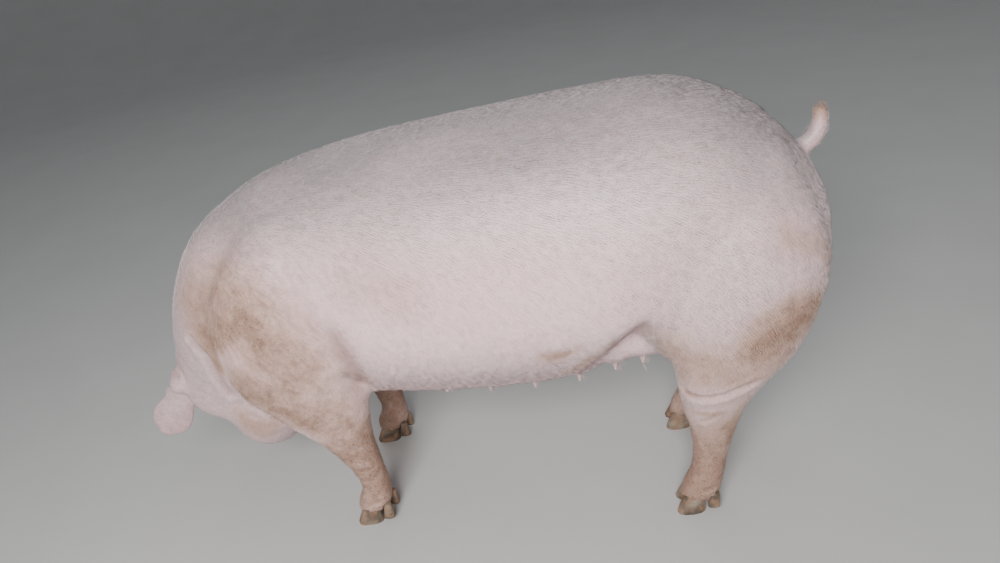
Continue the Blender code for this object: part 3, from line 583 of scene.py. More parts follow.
# %% Press the folds
FOLDS = {
    "shoulder_front": ([(-.532, -.162, .520), (-.506, -.175, .480),
                        (-.507, -.168, .445), (-.502, -.151, .365)], .010, .0060),
    "elbow": ([(-.194, -.206, .440), (-.174, -.190, .405),
               (-.189, -.141, .375), (-.204, -.101, .365)], .014, .0045),
    "behind_arm": ([(-.179, -.246, .550), (-.173, -.240, .500),
                    (-.169, -.228, .450), (-.175, -.200, .400)], .024, .0045),
    "under_thigh": ([(.458, -.200, .350), (.475, -.222, .346), (.500, -.238, .348),
                     (.535, -.243, .356), (.570, -.238, .374), (.590, -.222, .392)], .008, .0055),
    "hock": ([(.521, -.227, .298), (.509, -.221, .280), (.491, -.213, .270)], .006, .0028),
    "knee_front": ([(-.262, -.181, .175), (-.239, -.194, .166), (-.214, -.181, .170)], .007, .0018),
    "knee_low": ([(-.260, -.177, .140), (-.238, -.189, .134), (-.214, -.179, .138)], .006, .0015),
    "pastern_front": ([(-.256, -.191, .062), (-.232, -.197, .068), (-.206, -.186, .066)], .006, .0018),
    "pastern_hind": ([(.454, -.187, .064), (.476, -.195, .072), (.511, -.186, .074)], .006, .0018),
}
NECK_FOLDS = {
    "ear_root_swell": ([(-.690, -.088, .345), (-.672, -.108, .359), (-.652, -.122, .367)], .014, -.006),
    "ear_root_top": ([(-.649, -.110, .404), (-.640, -.114, .402)], .016, .004),
    "nape_low": ([(-.564, -.156, .410), (-.609, -.111, .455), (-.644, -.041, .490)], .009, .0010),
}
SWELL_SHARE = 0.35
SWELL_AWAY = 2.1
SWELL_WIDTH = 0.9


def fold(places, normals, points, width, depth):
    """How far each point moves: in along the line, and out a little beside it."""
    pressed, away = near_line(places, points, width)
    swell = np.exp(-(((away - SWELL_AWAY * width) / (SWELL_WIDTH * width)) ** 2))
    return normals * (depth * (SWELL_SHARE * swell - pressed))[:, None]


places = points_of(skin)
normals = normals_of(skin)
move = np.zeros_like(places)
for points, width, depth in FOLDS.values():
    move += fold(places, normals, points, width, depth)
    move += fold(places, normals, mirrored(points), width, depth)
for points, width, depth in NECK_FOLDS.values():
    move += fold(places, normals, points, width, depth)
places += move
deepest = float(np.linalg.norm(move, axis=1).max())
print("folds pressed:", 2 * len(FOLDS) + len(NECK_FOLDS), "deepest", round(deepest, 4))

# %% [markdown]
# ## The face
# A sow's face is long, with a straight mouth that ends in a small upturned corner, loose cheeks and
# wrinkles over the nose where it lifts to root. The mouth and the wrinkles are pressed into the same
# skin, in the head's own axes, so that the face stays one surface.

# %% Press the mouth and the wrinkles of the nose
MOUTH = (
    (.146, -.030), (.154, -.037), (.168, -.042), (.190, -.045), (.225, -.047), (.270, -.047), (.335, -.041),
)
MOUTH_DEPTH = 0.0050
MOUTH_WIDTH = 0.0036
UPPER_LIP = (0.0022, 0.0095, 0.006)
LOWER_LIP = (0.0016, -0.0090, 0.005)
NOSE_WRINKLES = (.318, .304, .288, .268)
WRINKLE_DEPTH = 0.0020
WRINKLE_BEND = 0.25
WRINKLE_WAVE = 0.004
MOUTH_CORNER_OVER = 0.012
LIPS_END = (0.350, 0.008)
NOSE_FRONT = (0.320, 0.01)
NOSE_TOP = (0.005, 0.02)
SIDE_GAIN = 1.6
HEAD_MIDDLE = (.19, 0, -.01)
HEAD_REACH = .26


def ridge(values, height, middle, width):
    """A soft ridge of that height round the middle value."""
    return height * np.exp(-(((values - middle) / width) ** 2))


head = head_coordinates(places)
along, left, up = head.T
mouth_along, mouth_up = np.array(MOUTH).T
above = up - np.interp(along, mouth_along, mouth_up)
in_mouth = rising(along, MOUTH[0][0], MOUTH_CORNER_OVER) * falling(along, *LIPS_END)
side_on = np.clip(np.abs(normals @ HEAD_AXES[1]) * SIDE_GAIN, 0, 1)
front_on = rising(along, *NOSE_FRONT)
lips = ridge(above, -MOUTH_DEPTH, 0, MOUTH_WIDTH) + ridge(above, *UPPER_LIP) + ridge(above, *LOWER_LIP)
press = in_mouth * np.maximum(side_on, front_on) * lips
for number, wrinkle in enumerate(NOSE_WRINKLES):
    bent = wrinkle - WRINKLE_BEND * np.abs(left) + WRINKLE_WAVE * np.sin(number * 2.0 + left * 60)
    across = ridge(along - bent, 1.0, 0, 0.0030) - ridge(along - bent, 0.4, 0.007, 0.004)
    press -= WRINKLE_DEPTH * across * rising(up, *NOSE_TOP)
inside_head = np.linalg.norm(head - np.array(HEAD_MIDDLE), axis=1) < HEAD_REACH
places += normals * (press * inside_head)[:, None]
set_points(skin, places)
print("mouth from", MOUTH[0][0], "to", MOUTH[-1][0], "m ahead of the poll")

# %% Thin the net
SKIN_TRIANGLES = 186000

skin.modifiers.new("triangles", "TRIANGULATE")
settle(skin)
thin = skin.modifiers.new("thin", "DECIMATE")
thin.ratio = SKIN_TRIANGLES / len(skin.data.polygons)
settle(skin)
skin.data.shade_smooth()
print("skin triangles:", len(skin.data.polygons))

# %% Soft flesh
WOBBLES = ((2.2, 0.0030), (6.0, 0.0011), (17.0, 0.0004))
TRUNK_SOFT = 1.0
LIMB_SOFT = 0.45
BARE_SOFT = 0.1

places = points_of(skin)
normals = normals_of(skin)
nearest = nearest_facets(places)


def on_node(*names):
    """Which points of the thinned skin lie over those nodes."""
    return over_nodes(facet_node[nearest], names)


soft = np.where(on_node("torso", "neck"), TRUNK_SOFT, LIMB_SOFT)
soft[on_node(*BARE_NODES)] = BARE_SOFT
wobble = np.zeros(len(places))
for frequency, height in WOBBLES:
    wobble += height * np.array([noise.noise(Vector(p) * frequency) for p in places])
places += normals * (wobble * soft)[:, None]
set_points(skin, places)
print("flesh wobbles up to", round(float(np.abs(wobble).max()) * 1000, 1), "mm")

# %% [markdown]
# ## The lie of the coat
# Bristles point from the snout over the head and back to the rump, slant down the flanks and run
# straight down the legs. A direction is given to each node, then averaged between neighbouring
# points many times over, so that it turns gently where the parts meet.

# %% Comb the coat
COMB_ROUNDS = 60
FLANK_SLANT = (0.86, 0.30)
BELLY_LEVEL = (0.44, 0.08)
RUMP_TURN = (0.55, 0.15)
LIE_OVER = {
    ("neck",): (0.75, 0.0, 0.45),
    ("head", "snout"): tuple(-FORWARD),
    LEGS: (0.22, 0.0, -1.0),
    ("ear_left",): (-0.45, -0.05, -0.9),
    ("ear_right",): (0.10, 0.30, -0.9),
    ("tail",): (0.15, 0.0, 1.0),
}


def set_over_nodes(values, table):
    """Writes each entry's value on the points over its nodes."""
    for names, value in table.items():
        values[on_node(*names)] = value


def unit(vectors):
    """Each row scaled to length 1."""
    return vectors / np.maximum(np.linalg.norm(vectors, axis=1), 1e-9)[:, None]


x, y, z = places.T
lie = np.tile(np.array((1.0, 0.0, 0.0)), (len(places), 1))
lie[:, 2] = -0.15 - 0.75 * falling(z, *FLANK_SLANT)
lie[:, 2] *= 1 - 0.7 * falling(z, *BELLY_LEVEL) * on_node("torso")
rump = rising(x, *RUMP_TURN) * on_node("torso")
lie[:, 0] *= 1 - 0.75 * rump
lie[:, 2] -= 0.9 * rump
set_over_nodes(lie, LIE_OVER)
ends = edge_ends(skin)
lie = average_over_net(unit(lie), ends, COMB_ROUNDS)
lie -= normals * (lie * normals).sum(1)[:, None]
lie = unit(lie)
print("combed", len(lie), "points in", COMB_ROUNDS, "rounds")

# %% [markdown]
# ## Marks on the hide
# She is pinkish white, greyer along the back, rosier on the udder, ears and snout, and soiled with
# brown earth on the shoulder, the thigh and the feet. Some marks are painted shade: part of the grey
# along the back, the grey on the ears, neck, head, rump and belly, the creases, the jowl, the fold of
# the flank and part of the darkening of the lower legs. Each mark is a soft mask kept as an attribute
# of the skin. The bristles inherit it from the point they grow on, so that skin and coat agree.

# %% Soil the hide, and paint some shade
STAINS_AND_SHADES = (
    ("thigh_tint", [(.450, -.235, .440), (.530, -.255, .420), (.600, -.255, .450)], .090, .52),
    ("shoulder_tint", [(-.443, -.205, .600), (-.353, -.240, .610),
                       (-.303, -.250, .530), (-.293, -.250, .460)], .120, .62),
    ("upper_arm_tint", [(-.383, -.235, .440), (-.330, -.235, .370), (-.263, -.235, .350)], .100, .66),
    ("shoulder_dark", [(-.473, -.185, .535), (-.403, -.225, .575),
                       (-.350, -.245, .606), (-.312, -.254, .553)], .050, .88),
    ("shoulder_edge", [(-.483, -.182, .520), (-.473, -.190, .450), (-.433, -.215, .420),
                       (-.389, -.236, .415), (-.330, -.235, .364), (-.297, -.229, .333)], .036, .84),
    ("forearm", [(-.278, -.230, .330), (-.243, -.215, .290), (-.222, -.200, .240)], .040, .50),
    ("forearm_streak", [(-.225, -.212, .325), (-.217, -.206, .295)], .012, .85),
    ("knee", [(-.239, -.196, .205), (-.222, -.195, .190)], .028, .60),
    ("forearm_back", [(-.194, -.156, .230), (-.198, -.160, .160), (-.200, -.166, .105)], .028, .90),
    ("thigh_rear", [(.597, -.262, .475), (.632, -.256, .505), (.662, -.242, .525)], .062, .84),
    ("thigh_low", [(.557, -.257, .420), (.597, -.256, .440), (.632, -.240, .440)], .050, .55),
    ("thigh_crease", [(.461, -.208, .348), (.487, -.236, .346),
                      (.527, -.245, .350), (.570, -.241, .372)], .009, 1.0),
    ("belly_smudge", [(.215, -.246, .470), (.247, -.247, .480)], .015, .85),
    ("belly_smudge_two", [(.265, -.249, .488), (.281, -.250, .497)], .012, .50),
    ("flank_tan", [(-.113, -.246, .660), (-.071, -.249, .650), (-.028, -.255, .630)], .075, .30),
    # The next entry is a thin line of painted shade along the fold of the flank, not earth.
    ("flank_edge", [(.246, -.208, .406), (.291, -.234, .454),
                    (.327, -.243, .485), (.381, -.230, .508)], .012, .50),
    ("rump_spots", [(.637, -.235, .668), (.677, -.220, .650), (.707, -.195, .620)], .040, .36),
    ("rump_side", [(.713, -.192, .617), (.719, -.190, .550)], .034, .42),
    ("hock_front", [(.477, -.210, .300), (.506, -.223, .298), (.527, -.220, .300)], .016, .55),
    ("hock_back", [(.542, -.205, .262), (.534, -.205, .235)], .024, .70),
    ("pastern_back", [(.529, -.187, .150), (.527, -.187, .120)], .024, .60),
    ("cannon_front", [(.476, -.181, .215), (.484, -.181, .150)], .022, .50),
    # The next entry is painted shade under the jaw, not earth.
    ("jowl", [(-.494, -.159, .300), (-.453, -.156, .266)], .045, .50),
    ("snout_earth", [tuple(on_head(.337, .000, -.045)), tuple(on_head(.342, .030, -.030))], .022, .55),
)
ONE_SIDED = ("jowl", "snout_earth")
FAR_SHARE = 0.6
RAGGED = 0.25
FEET_TOP = 0.130
FEET_OVER = 0.095
GRIME_AND_SHADE_TOP = 0.40
GRIME_AND_SHADE_OVER = 0.20
TAIL_TIP = 0.035
TAIL_TIP_OVER = 0.025


def value_noise(frequency, offset=0.0):
    """Smooth noise from -1 to 1 at every point of the skin."""
    shift = Vector((offset, offset, offset))
    return np.array([noise.noise(Vector(p) * frequency + shift) for p in places])


blotch = value_noise(9.0)
speck = value_noise(34.0, 7.0)
mud = np.zeros(len(places))
for name, points, width, strength in STAINS_AND_SHADES:
    mask = near_line(places, points, width * (1 + RAGGED * blotch))[0]
    other = near_line(places, mirrored(points), width * (1 + RAGGED * speck))[0]
    mask = np.maximum(mask, FAR_SHARE * other * (name not in ONE_SIDED))
    mud = np.maximum(mud, strength * mask)
mud = np.maximum(mud, falling(z, FEET_TOP, FEET_OVER) * (0.80 + 0.35 * blotch))
# The lower legs: real grime, made darker still with painted shade, as they get less light than the flank.
mud = np.maximum(mud, on_node(*LEGS) * falling(z, GRIME_AND_SHADE_TOP, GRIME_AND_SHADE_OVER) * (0.82 + 0.45 * blotch))
tail_dark = rising(z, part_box("tail")[1].z - TAIL_TIP, TAIL_TIP_OVER)
mud = np.maximum(mud, 0.75 * on_node("tail") * tail_dark)
mud = np.clip(mud * (1 + 0.35 * speck), 0, 1)
print("stains:", len(STAINS_AND_SHADES), "mean soil", round(float(mud.mean()), 3))

# %% Paint grey and shade
BACK_FACING = (0.05, 0.70)
BACK_HEIGHT = (0.56, 0.20)
REAR_SHADE_FROM = (0.30, 0.15)
UNDER_SHADE_FACING = (0.10, 0.40)
GREY_ROUNDS = 20
SHADE_GREY_OVER = {EARS: 0.50, ("neck", "head"): 0.42}

upward = normals[:, 2]
# The high, upward-facing back: partly grey hair and dirt, partly painted shade, as her back faces away from
# the light at her side.
grey = rising(upward, *BACK_FACING) * rising(z, *BACK_HEIGHT)
grey *= 0.85 + 0.3 * blotch
# Painted shade on the ears, the neck and the head.
for names, least in SHADE_GREY_OVER.items():
    grey = np.maximum(grey, least * on_node(*names))
# Painted shade on the rump and the thighs.
grey = np.maximum(grey, 0.34 * rising(x, *REAR_SHADE_FROM))
# Painted shade on the belly and udder, which face down.
grey = np.maximum(grey, 0.55 * on_node("torso") * rising(-upward, *UNDER_SHADE_FACING))
grey = average_over_net(grey[:, None], ends, GREY_ROUNDS)[:, 0]
print("mean grey", round(float(grey.mean()), 3))

# %% Blush the bare skin
TEAT_FACET = 0.0065
TEAT_TOP = 0.46
TEAT_ROUNDS = 4
EYE_BLUSH = (.028, .028, .028)
JOWL_SHADE_RADII = (.075, .060, .060)
JOWL_ALONG, JOWL_ASIDE, JOWL_UP = .074, .075, -.062
UNDER_ROSE_FACING = (0.35, 0.4)
EAR_ROOT_ROSE = 0.15
EAR_TIP_ROSE = 0.75
SNOUT_ROSE = 1.0
TAIL_ROSE = 0.35
NOSE_ROSE_FROM = (.26, .07)
BETWEEN_LEGS = 0.12
GROIN_TOP = (0.50, 0.12)
GROIN_FLOOR = 0.22

along, left, up = head_coordinates(places).T
rose = 0.9 * on_node("torso") * rising(-upward, *UNDER_ROSE_FACING)
for ear in ("left", "right"):
    low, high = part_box("ear_" + ear)
    down = np.clip((high.z - z) / (high.z - low.z), 0, 1)
    rose = np.where(on_node("ear_" + ear), EAR_ROOT_ROSE + EAR_TIP_ROSE * down ** 2, rose)
teats = on_node("torso") & (z < TEAT_TOP) & (facet_size[nearest] < TEAT_FACET)
rose = np.maximum(rose, 0.85 * average_over_net(teats[:, None].astype(float), ends, TEAT_ROUNDS)[:, 0])
rose[on_node("snout")] = SNOUT_ROSE
rose[on_node("tail")] = TAIL_ROSE
for eye in EYES.values():
    rose = np.maximum(rose, near_point(places, eye, EYE_BLUSH))
rose = np.maximum(rose, 0.7 * rising(along, *NOSE_ROSE_FROM) * on_node("head"))
# Painted shade under the jaw, laid in with the rose colour.
for side in (-1, 1):
    jowl = on_head(JOWL_ALONG, side * JOWL_ASIDE, JOWL_UP)
    rose = np.maximum(rose, 0.7 * near_point(places, jowl, JOWL_SHADE_RADII))
between_legs = np.clip(0.9 - np.abs(y - MIDDLE_Y) / BETWEEN_LEGS, 0, 1)
rose = np.maximum(rose, 0.6 * between_legs * falling(z, *GROIN_TOP) * (z > GROIN_FLOOR))
print("mean rose", round(float(rose.mean()), 3))

# %% Paint shade into the creases
FULL_CREASE_DEPTH = 0.0045
CREASE_SHARE = 0.7
FAR_CREASE = 0.45
MOUTH_DARK_WIDTH = 0.0028
MOUTH_DARK_END = 0.342
NOSTRIL_ALONG, NOSTRIL_ASIDE, NOSTRIL_UP = 0.356, 0.0175, 0.004
NOSTRIL_RADII = (.0085, .0085, .0085)

# Painted shade in the folds, along the mouth and in the nostrils, where the skin lies in shade.
crease = np.zeros(len(places))
for points, width, depth in list(FOLDS.values()) + list(NECK_FOLDS.values()):
    strength = min(1.0, depth / FULL_CREASE_DEPTH)
    here = near_line(places, points, width * CREASE_SHARE)[0]
    there = near_line(places, mirrored(points), width * CREASE_SHARE)[0]
    crease = np.maximum(crease, strength * np.maximum(here, FAR_CREASE * there))
line_up = np.interp(along, mouth_along, mouth_up)
in_mouth = (along > MOUTH[0][0]) * (along < MOUTH_DARK_END) * on_node("head", "snout")
crease = np.maximum(crease, in_mouth * np.exp(-(((up - line_up) / MOUTH_DARK_WIDTH) ** 2)))
for side in (-1, 1):
    nostril = on_head(NOSTRIL_ALONG, side * NOSTRIL_ASIDE, NOSTRIL_UP)
    crease = np.maximum(crease, near_point(places, nostril, NOSTRIL_RADII))
print("mean crease", round(float(crease.mean()), 4))

# %% [markdown]
# ## Where the bristles grow, and how long
# The snout is bare, the belly, the lids and the nose nearly so, and the feet lose their hair above
# the claws. Bristles are longest along the back and shortest on the face and legs. Two more masks
# hold that, so that the tree that grows the tufts needs no list of places of its own.

# %% Cover and length of the coat
COVER_OVER = {("snout",): 0.0, EARS: 0.75}
LENGTH_OVER = {("head",): 0.42, EARS: 0.45, LEGS: 0.58, ("tail",): 0.7}
LID_BARE = (.018, .018, .018)
BELLY_BARE_FACING = (0.45, 0.4)
FEET_BARE_TOP = (0.045, 0.02)
NOSE_BARE_FROM = (.29, .04)
FEET_SHORT_TOP = (0.14, 0.08)
MANE_FACING = (0.7, 0.3)
MANE_FROM = 0.6
LENGTH_ROUNDS = 12

cover = np.ones(len(places))
set_over_nodes(cover, COVER_OVER)
cover *= 1 - 0.75 * rising(-upward, *BELLY_BARE_FACING) * on_node("torso")
cover *= 1 - 0.9 * falling(z, *FEET_BARE_TOP)
for eye in EYES.values():
    cover *= 1 - near_point(places, eye, LID_BARE)
cover *= 1 - 0.8 * rising(along, *NOSE_BARE_FROM) * on_node("head")

longer = np.ones(len(places))
set_over_nodes(longer, LENGTH_OVER)
longer *= 1 - 0.35 * falling(z, *FEET_SHORT_TOP)
longer *= 1 + 0.30 * rising(upward, *MANE_FACING) * (z > MANE_FROM)
longer = average_over_net(longer[:, None], ends, LENGTH_ROUNDS)[:, 0]
print("mean cover", round(float(cover.mean()), 3), "mean length", round(float(longer.mean()), 3))


# %% Keep the masks on the skin
def keep_attribute(mesh, name, values):
    """Stores one number a vertex."""
    made = mesh.attributes.new(name, "FLOAT", "POINT")
    made.data.foreach_set("value", values.astype(np.float32))


upright = np.clip(-lie[:, 2] * 1.5 - 0.35, 0, 1)
MASKS = {
    "mud": mud, "grey": grey, "rose": rose, "crease": crease,
    "cover": cover, "longer": longer, "upright": upright,
}
for name, values in MASKS.items():
    keep_attribute(skin.data, name, np.clip(values, 0, 2))
comb = skin.data.attributes.new("lie", "FLOAT_VECTOR", "POINT")
comb.data.foreach_set("vector", lie.astype(np.float32).ravel())
print("masks kept:", list(MASKS))

# %% [markdown]
# ## The hide's finish
# Skin and bristles share one shader group that turns the masks into colour, so the earth on a hair
# matches the earth on the skin beneath it, and the painted shade on a hair matches the painted shade
# on the skin. Streaks that follow the lie of the coat, pores and fine scurf are bump, because they
# are far smaller than the net. The finest streaks also paint shade into the skin's colour, as in the
# gaps between the bristles.

# %% The shared group of marks
PINK_PALE = (0.840, 0.590, 0.610, 1)
PINK_DEEP = (0.740, 0.470, 0.480, 1)
ROSE = (0.700, 0.360, 0.350, 1)
GAP_SHADE_AND_DUST = (0.330, 0.220, 0.200, 1)
GREY_AND_SHADE = (0.265, 0.260, 0.275, 1)
TAN = (0.450, 0.285, 0.200, 1)
EARTH = (0.260, 0.145, 0.085, 1)
EARTH_DARK = (0.085, 0.048, 0.028, 1)
CREASE_SHADE_BROWN = (0.200, 0.095, 0.075, 1)
DUST_SCALE = 420.0


def shader_group(name, inputs, outputs):
    """An empty shader group with named sockets: name to (socket type, default value)."""
    group = bpy.data.node_groups.new(name, "ShaderNodeTree")
    for socket, (kind, value) in inputs.items():
        made = group.interface.new_socket(socket, in_out="INPUT", socket_type=kind)
        made.default_value = value
    for socket, kind in outputs.items():
        group.interface.new_socket(socket, in_out="OUTPUT", socket_type=kind)
    return group, group.nodes.new("NodeGroupInput"), group.nodes.new("NodeGroupOutput")


marks, marks_in, marks_out = shader_group(
    "hide_marks",
    {
        "Ground": ("NodeSocketColor", PINK_PALE),
        "Mud": ("NodeSocketFloat", 0.0),
        "Grey": ("NodeSocketFloat", 0.0),
        "Rose": ("NodeSocketFloat", 0.0),
        "Crease": ("NodeSocketFloat", 0.0),
    },
    {"Color": "NodeSocketColor", "Earth": "NodeSocketFloat"},
)
mud_and_shade_in, grey_and_shade_in = marks_in.outputs["Mud"], marks_in.outputs["Grey"]
cloud = ramp(marks, object_noise(marks, 5.0, detail=5.0), 0.30, 0.72)
fleck = object_noise(marks, 260.0, detail=3.0)
grain = object_noise(marks, 70.0, detail=6.0)
broken = math_node(marks, "ADD", mud_and_shade_in, times(marks, math_node(marks, "SUBTRACT", grain, 0.5), 0.9))
earth = times(marks, ramp(marks, broken, 0.40, 1.05), ramp(marks, mud_and_shade_in, 0.02, 0.25))
caked = times(marks, ramp(marks, fleck, 0.54, 0.66), ramp(marks, mud_and_shade_in, 0.30, 0.9))
dusty = math_node(marks, "ADD", times(marks, math_node(marks, "MAXIMUM", grey_and_shade_in, mud_and_shade_in), 0.80), 0.20)
dust = times(marks, ramp(marks, object_noise(marks, DUST_SCALE, detail=2.0), 0.54, 0.62), dusty)
# In these layers the grey is partly grey hair and dirt and mostly painted shade, the crease layer is painted
# shade, and the tan, earth and caked layers are earth, with painted shade where the mud mask holds it: under
# the jaw, along the flank's fold and on the lower legs. The dust flecks use the dark colour that the skin
# also uses for painted shade between bristles.
LAYERS = (
    (cloud, 0.25, PINK_DEEP),
    (marks_in.outputs["Rose"], 0.75, ROSE),
    (grey_and_shade_in, 0.88, GREY_AND_SHADE),
    (ramp(marks, mud_and_shade_in, 0.0, 0.65), 0.80, TAN),
    (earth, 0.72, EARTH),
    (caked, 0.75, EARTH_DARK),
    (marks_in.outputs["Crease"], 0.62, CREASE_SHADE_BROWN),
    (dust, 1.00, GAP_SHADE_AND_DUST),
)
colour = marks_in.outputs["Ground"]
for mask, most, paint in LAYERS:
    colour = mix_colour(marks, times(marks, mask, most), colour, paint)
marks.links.new(colour, marks_out.inputs["Color"])
marks.links.new(earth, marks_out.inputs["Earth"])
print("group", marks.name, "has", len(marks.nodes), "nodes")

# %% The shared group of combed streaks
STREAK_SCALE = 60.0
STREAK_STRETCH = 0.16
FLANK_LEAN = math.radians(30)
FINE_SCALE = 300.0
FINE_STRETCH = 0.256
COARSE_SHARE = 0.12

combed, combed_in, combed_out = shader_group(
    "combed_streaks",
    {"Upright": ("NodeSocketFloat", 0.0)},
    {"Height": "NodeSocketFloat", "Shade": "NodeSocketFloat"},
)


def two_ways(tree, scale, detail, stretch, upright):
    """A noise drawn out along the slanting lie of the flank, changing to the upright lie of the legs."""
    slanting = object_noise(tree, scale, detail, (stretch, 1, 1), (0, FLANK_LEAN, 0))
    hanging = object_noise(tree, scale, detail, (1, 1, stretch))
    blend = tree.nodes.new("ShaderNodeMix")
    tree.links.new(upright, blend.inputs["Factor"])
    tree.links.new(slanting, blend.inputs["A"])
    tree.links.new(hanging, blend.inputs["B"])
    return blend.outputs["Result"]


coarse = two_ways(combed, STREAK_SCALE, 3.0, STREAK_STRETCH, combed_in.outputs["Upright"])
fine = two_ways(combed, FINE_SCALE, 3.0, FINE_STRETCH, combed_in.outputs["Upright"])
height = math_node(combed, "ADD", times(combed, coarse, COARSE_SHARE), fine)
combed.links.new(height, combed_out.inputs["Height"])
combed.links.new(ramp(combed, fine, 0.52, 0.70), combed_out.inputs["Shade"])
print("group", combed.name, "has", len(combed.nodes), "nodes")

# %% Skin material
PORE_SCALE = 420.0
PORE_SHARE = 0.35
STREAK_SHADE = 0.45
RELIEF = 0.0010


def attribute(tree, name):
    """The Fac output of a mesh attribute."""
    node = tree.nodes.new("ShaderNodeAttribute")
    node.attribute_name = name
    return node.outputs["Fac"]


def marked(tree, ground):
    """The shared group placed in a material and fed with the mesh's masks."""
    node = tree.nodes.new("ShaderNodeGroup")
    node.node_tree = marks
    node.inputs["Ground"].default_value = ground
    for socket in ("Mud", "Grey", "Rose", "Crease"):
        tree.links.new(attribute(tree, socket.lower()), node.inputs[socket])
    return node


skin_material, tree, shader = new_material("sow_skin")
painted = marked(tree, PINK_PALE)
streaks = tree.nodes.new("ShaderNodeGroup")
streaks.node_tree = combed
tree.links.new(attribute(tree, "upright"), streaks.inputs["Upright"])
# Painted shade: the fine streaks darken the skin as the shade in the gaps between the bristles.
shade = times(tree, streaks.outputs["Shade"], STREAK_SHADE)
tree.links.new(mix_colour(tree, shade, painted.outputs["Color"], GAP_SHADE_AND_DUST), shader.inputs["Base Color"])
roughness(tree, shader, painted.outputs["Earth"], 0.46, 0.85)
shader.inputs["Subsurface Weight"].default_value = 0.12
shader.inputs["Subsurface Radius"].default_value = (0.012, 0.005, 0.003)
shader.inputs["Subsurface Scale"].default_value = 1.0
pores = object_noise(tree, PORE_SCALE, 2.0)
height = math_node(tree, "ADD", streaks.outputs["Height"], times(tree, pores, PORE_SHARE))
bump(tree, shader, height, RELIEF, 0.32)
skin.data.materials.append(skin_material)
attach(skin, "root")
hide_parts(*FLESH)
print("skin finished with", len(tree.nodes), "nodes")

# %% [markdown]
# ## An unwrap for the coat
# Each bristle tuft later needs a small patch of texture at the place of its root. The skin is
# unwrapped into flat charts for that. Seams could be marked by hand; Smart UV Project finds charts
# by the direction of the faces and is quick enough for so fine a net.

# %% Unwrap the skin
bpy.context.view_layer.objects.active = skin
skin.select_set(True)
bpy.ops.object.mode_set(mode="EDIT")
bpy.ops.mesh.select_all(action="SELECT")
bpy.ops.uv.smart_project(angle_limit=math.radians(66), island_margin=0.002)
bpy.ops.object.mode_set(mode="OBJECT")
skin.data.uv_layers[0].name = "hide_map"
print("unwrapped into", skin.data.uv_layers[0].name)

# %% [markdown]
# ## One tuft of bristles
# A tuft is three stiff hairs that leave the skin together and fan a little. A hair could be a curve
# with a bevel, but a three sided spike of ten triangles is far lighter and looks the same from a
# step away. Four kinds, drawn with a fixed seed, are enough to hide that they repeat.

# %% Make four kinds of tuft
HAIR_LENGTH = 0.023
HAIR_RADIUS = 0.00030
HAIRS_IN_TUFT = 3
TUFT_KINDS = 4
ROOT_SUNK = 0.0012
HAIR_ASIDE = 0.0026
HAIR_FAN = 0.09
MIDDLE_THICK = 0.85
HAIR_SAG = 0.55

tuft_kinds = bpy.data.collections.new("tuft_kinds")
draw = np.random.default_rng(11)


def add_hair(body, uv_layer, start, turn, length, rise, radius, number):
    """One bent spike: a triangle at the root, one at the middle and a point."""
    ahead = Vector((math.cos(turn), math.sin(turn), 0))
    aside = Vector((-math.sin(turn), math.cos(turn), 0))
    rings = []
    for part, thick in ((0.0, 1.0), (0.5, MIDDLE_THICK)):
        lift = rise * length * (part - HAIR_SAG * part * part) - ROOT_SUNK * (part == 0)
        middle = start + ahead * (part * length) + Vector((0, 0, lift))
        ring = []
        for corner in range(3):
            angle = math.radians(90 + 120 * corner)
            offset = aside * math.cos(angle) + Vector((0, 0, math.sin(angle)))
            ring.append(body.verts.new(middle + offset * radius * thick))
        rings.append(ring)
    tip_lift = rise * length * (1 - HAIR_SAG)
    tip = body.verts.new(start + ahead * length + Vector((0, 0, tip_lift)))
    faces = [(rings[0][2], rings[0][1], rings[0][0])]
    for corner in range(3):
        after = (corner + 1) % 3
        faces.append((rings[0][corner], rings[0][after], rings[1][after]))
        faces.append((rings[0][corner], rings[1][after], rings[1][corner]))
        faces.append((rings[1][corner], rings[1][after], tip))
    for corners in faces:
        face = body.faces.new(corners)
        face.smooth = True
        for loop in face.loops:
            part = (loop.vert.co - start).dot(ahead) / length
            loop[uv_layer].uv = (part - 0.5, (number + 0.5) / HAIRS_IN_TUFT - 0.5)


for kind in range(TUFT_KINDS):
    body = bmesh.new()
    uv_layer = body.loops.layers.uv.new("tuft_uv")
    for number in range(HAIRS_IN_TUFT):
        aside = (number - 1) * HAIR_ASIDE + draw.uniform(-0.0008, 0.0008)
        start = Vector((draw.uniform(-0.002, 0.002), aside, 0))
        turn = (number - 1) * HAIR_FAN + draw.uniform(-0.12, 0.12)
        length = HAIR_LENGTH * draw.uniform(0.75, 1.15)
        add_hair(body, uv_layer, start, turn, length, draw.uniform(0.07, 0.17), HAIR_RADIUS, number)
    bmesh.ops.recalc_face_normals(body, faces=body.faces)
    mesh = bpy.data.meshes.new("tuft")
    body.to_mesh(mesh)
    body.free()
    tuft_kinds.objects.link(bpy.data.objects.new(f"tuft_{kind}", mesh))
print("tuft kinds:", TUFT_KINDS, "with", len(mesh.polygons), "triangles each")

# %% [markdown]
# ## Growing the coat
# A Geometry Nodes tree scatters roots over one region of the skin, turns each tuft to the lie,
# varies its length and lift, realises it and gives it the bristle material. A particle system could
# do that too, but its hair is no mesh. Each tuft also gets a small patch of texture at the place of
# its root. The result is made a plain mesh, and the coat is divided into regions so that no piece
# becomes too heavy.

# %% Bristle material
BRISTLE_WHITE = (0.890, 0.770, 0.780, 1)

bristle_material, tree, shader = new_material("bristle_white")
# The shared group paints earth onto the bristles, and the painted shade of the same masks.
painted = marked(tree, BRISTLE_WHITE)
tree.links.new(painted.outputs["Color"], shader.inputs["Base Color"])
roughness(tree, shader, painted.outputs["Earth"], 0.38, 0.80)
print("bristles finished with", len(tree.nodes), "nodes")

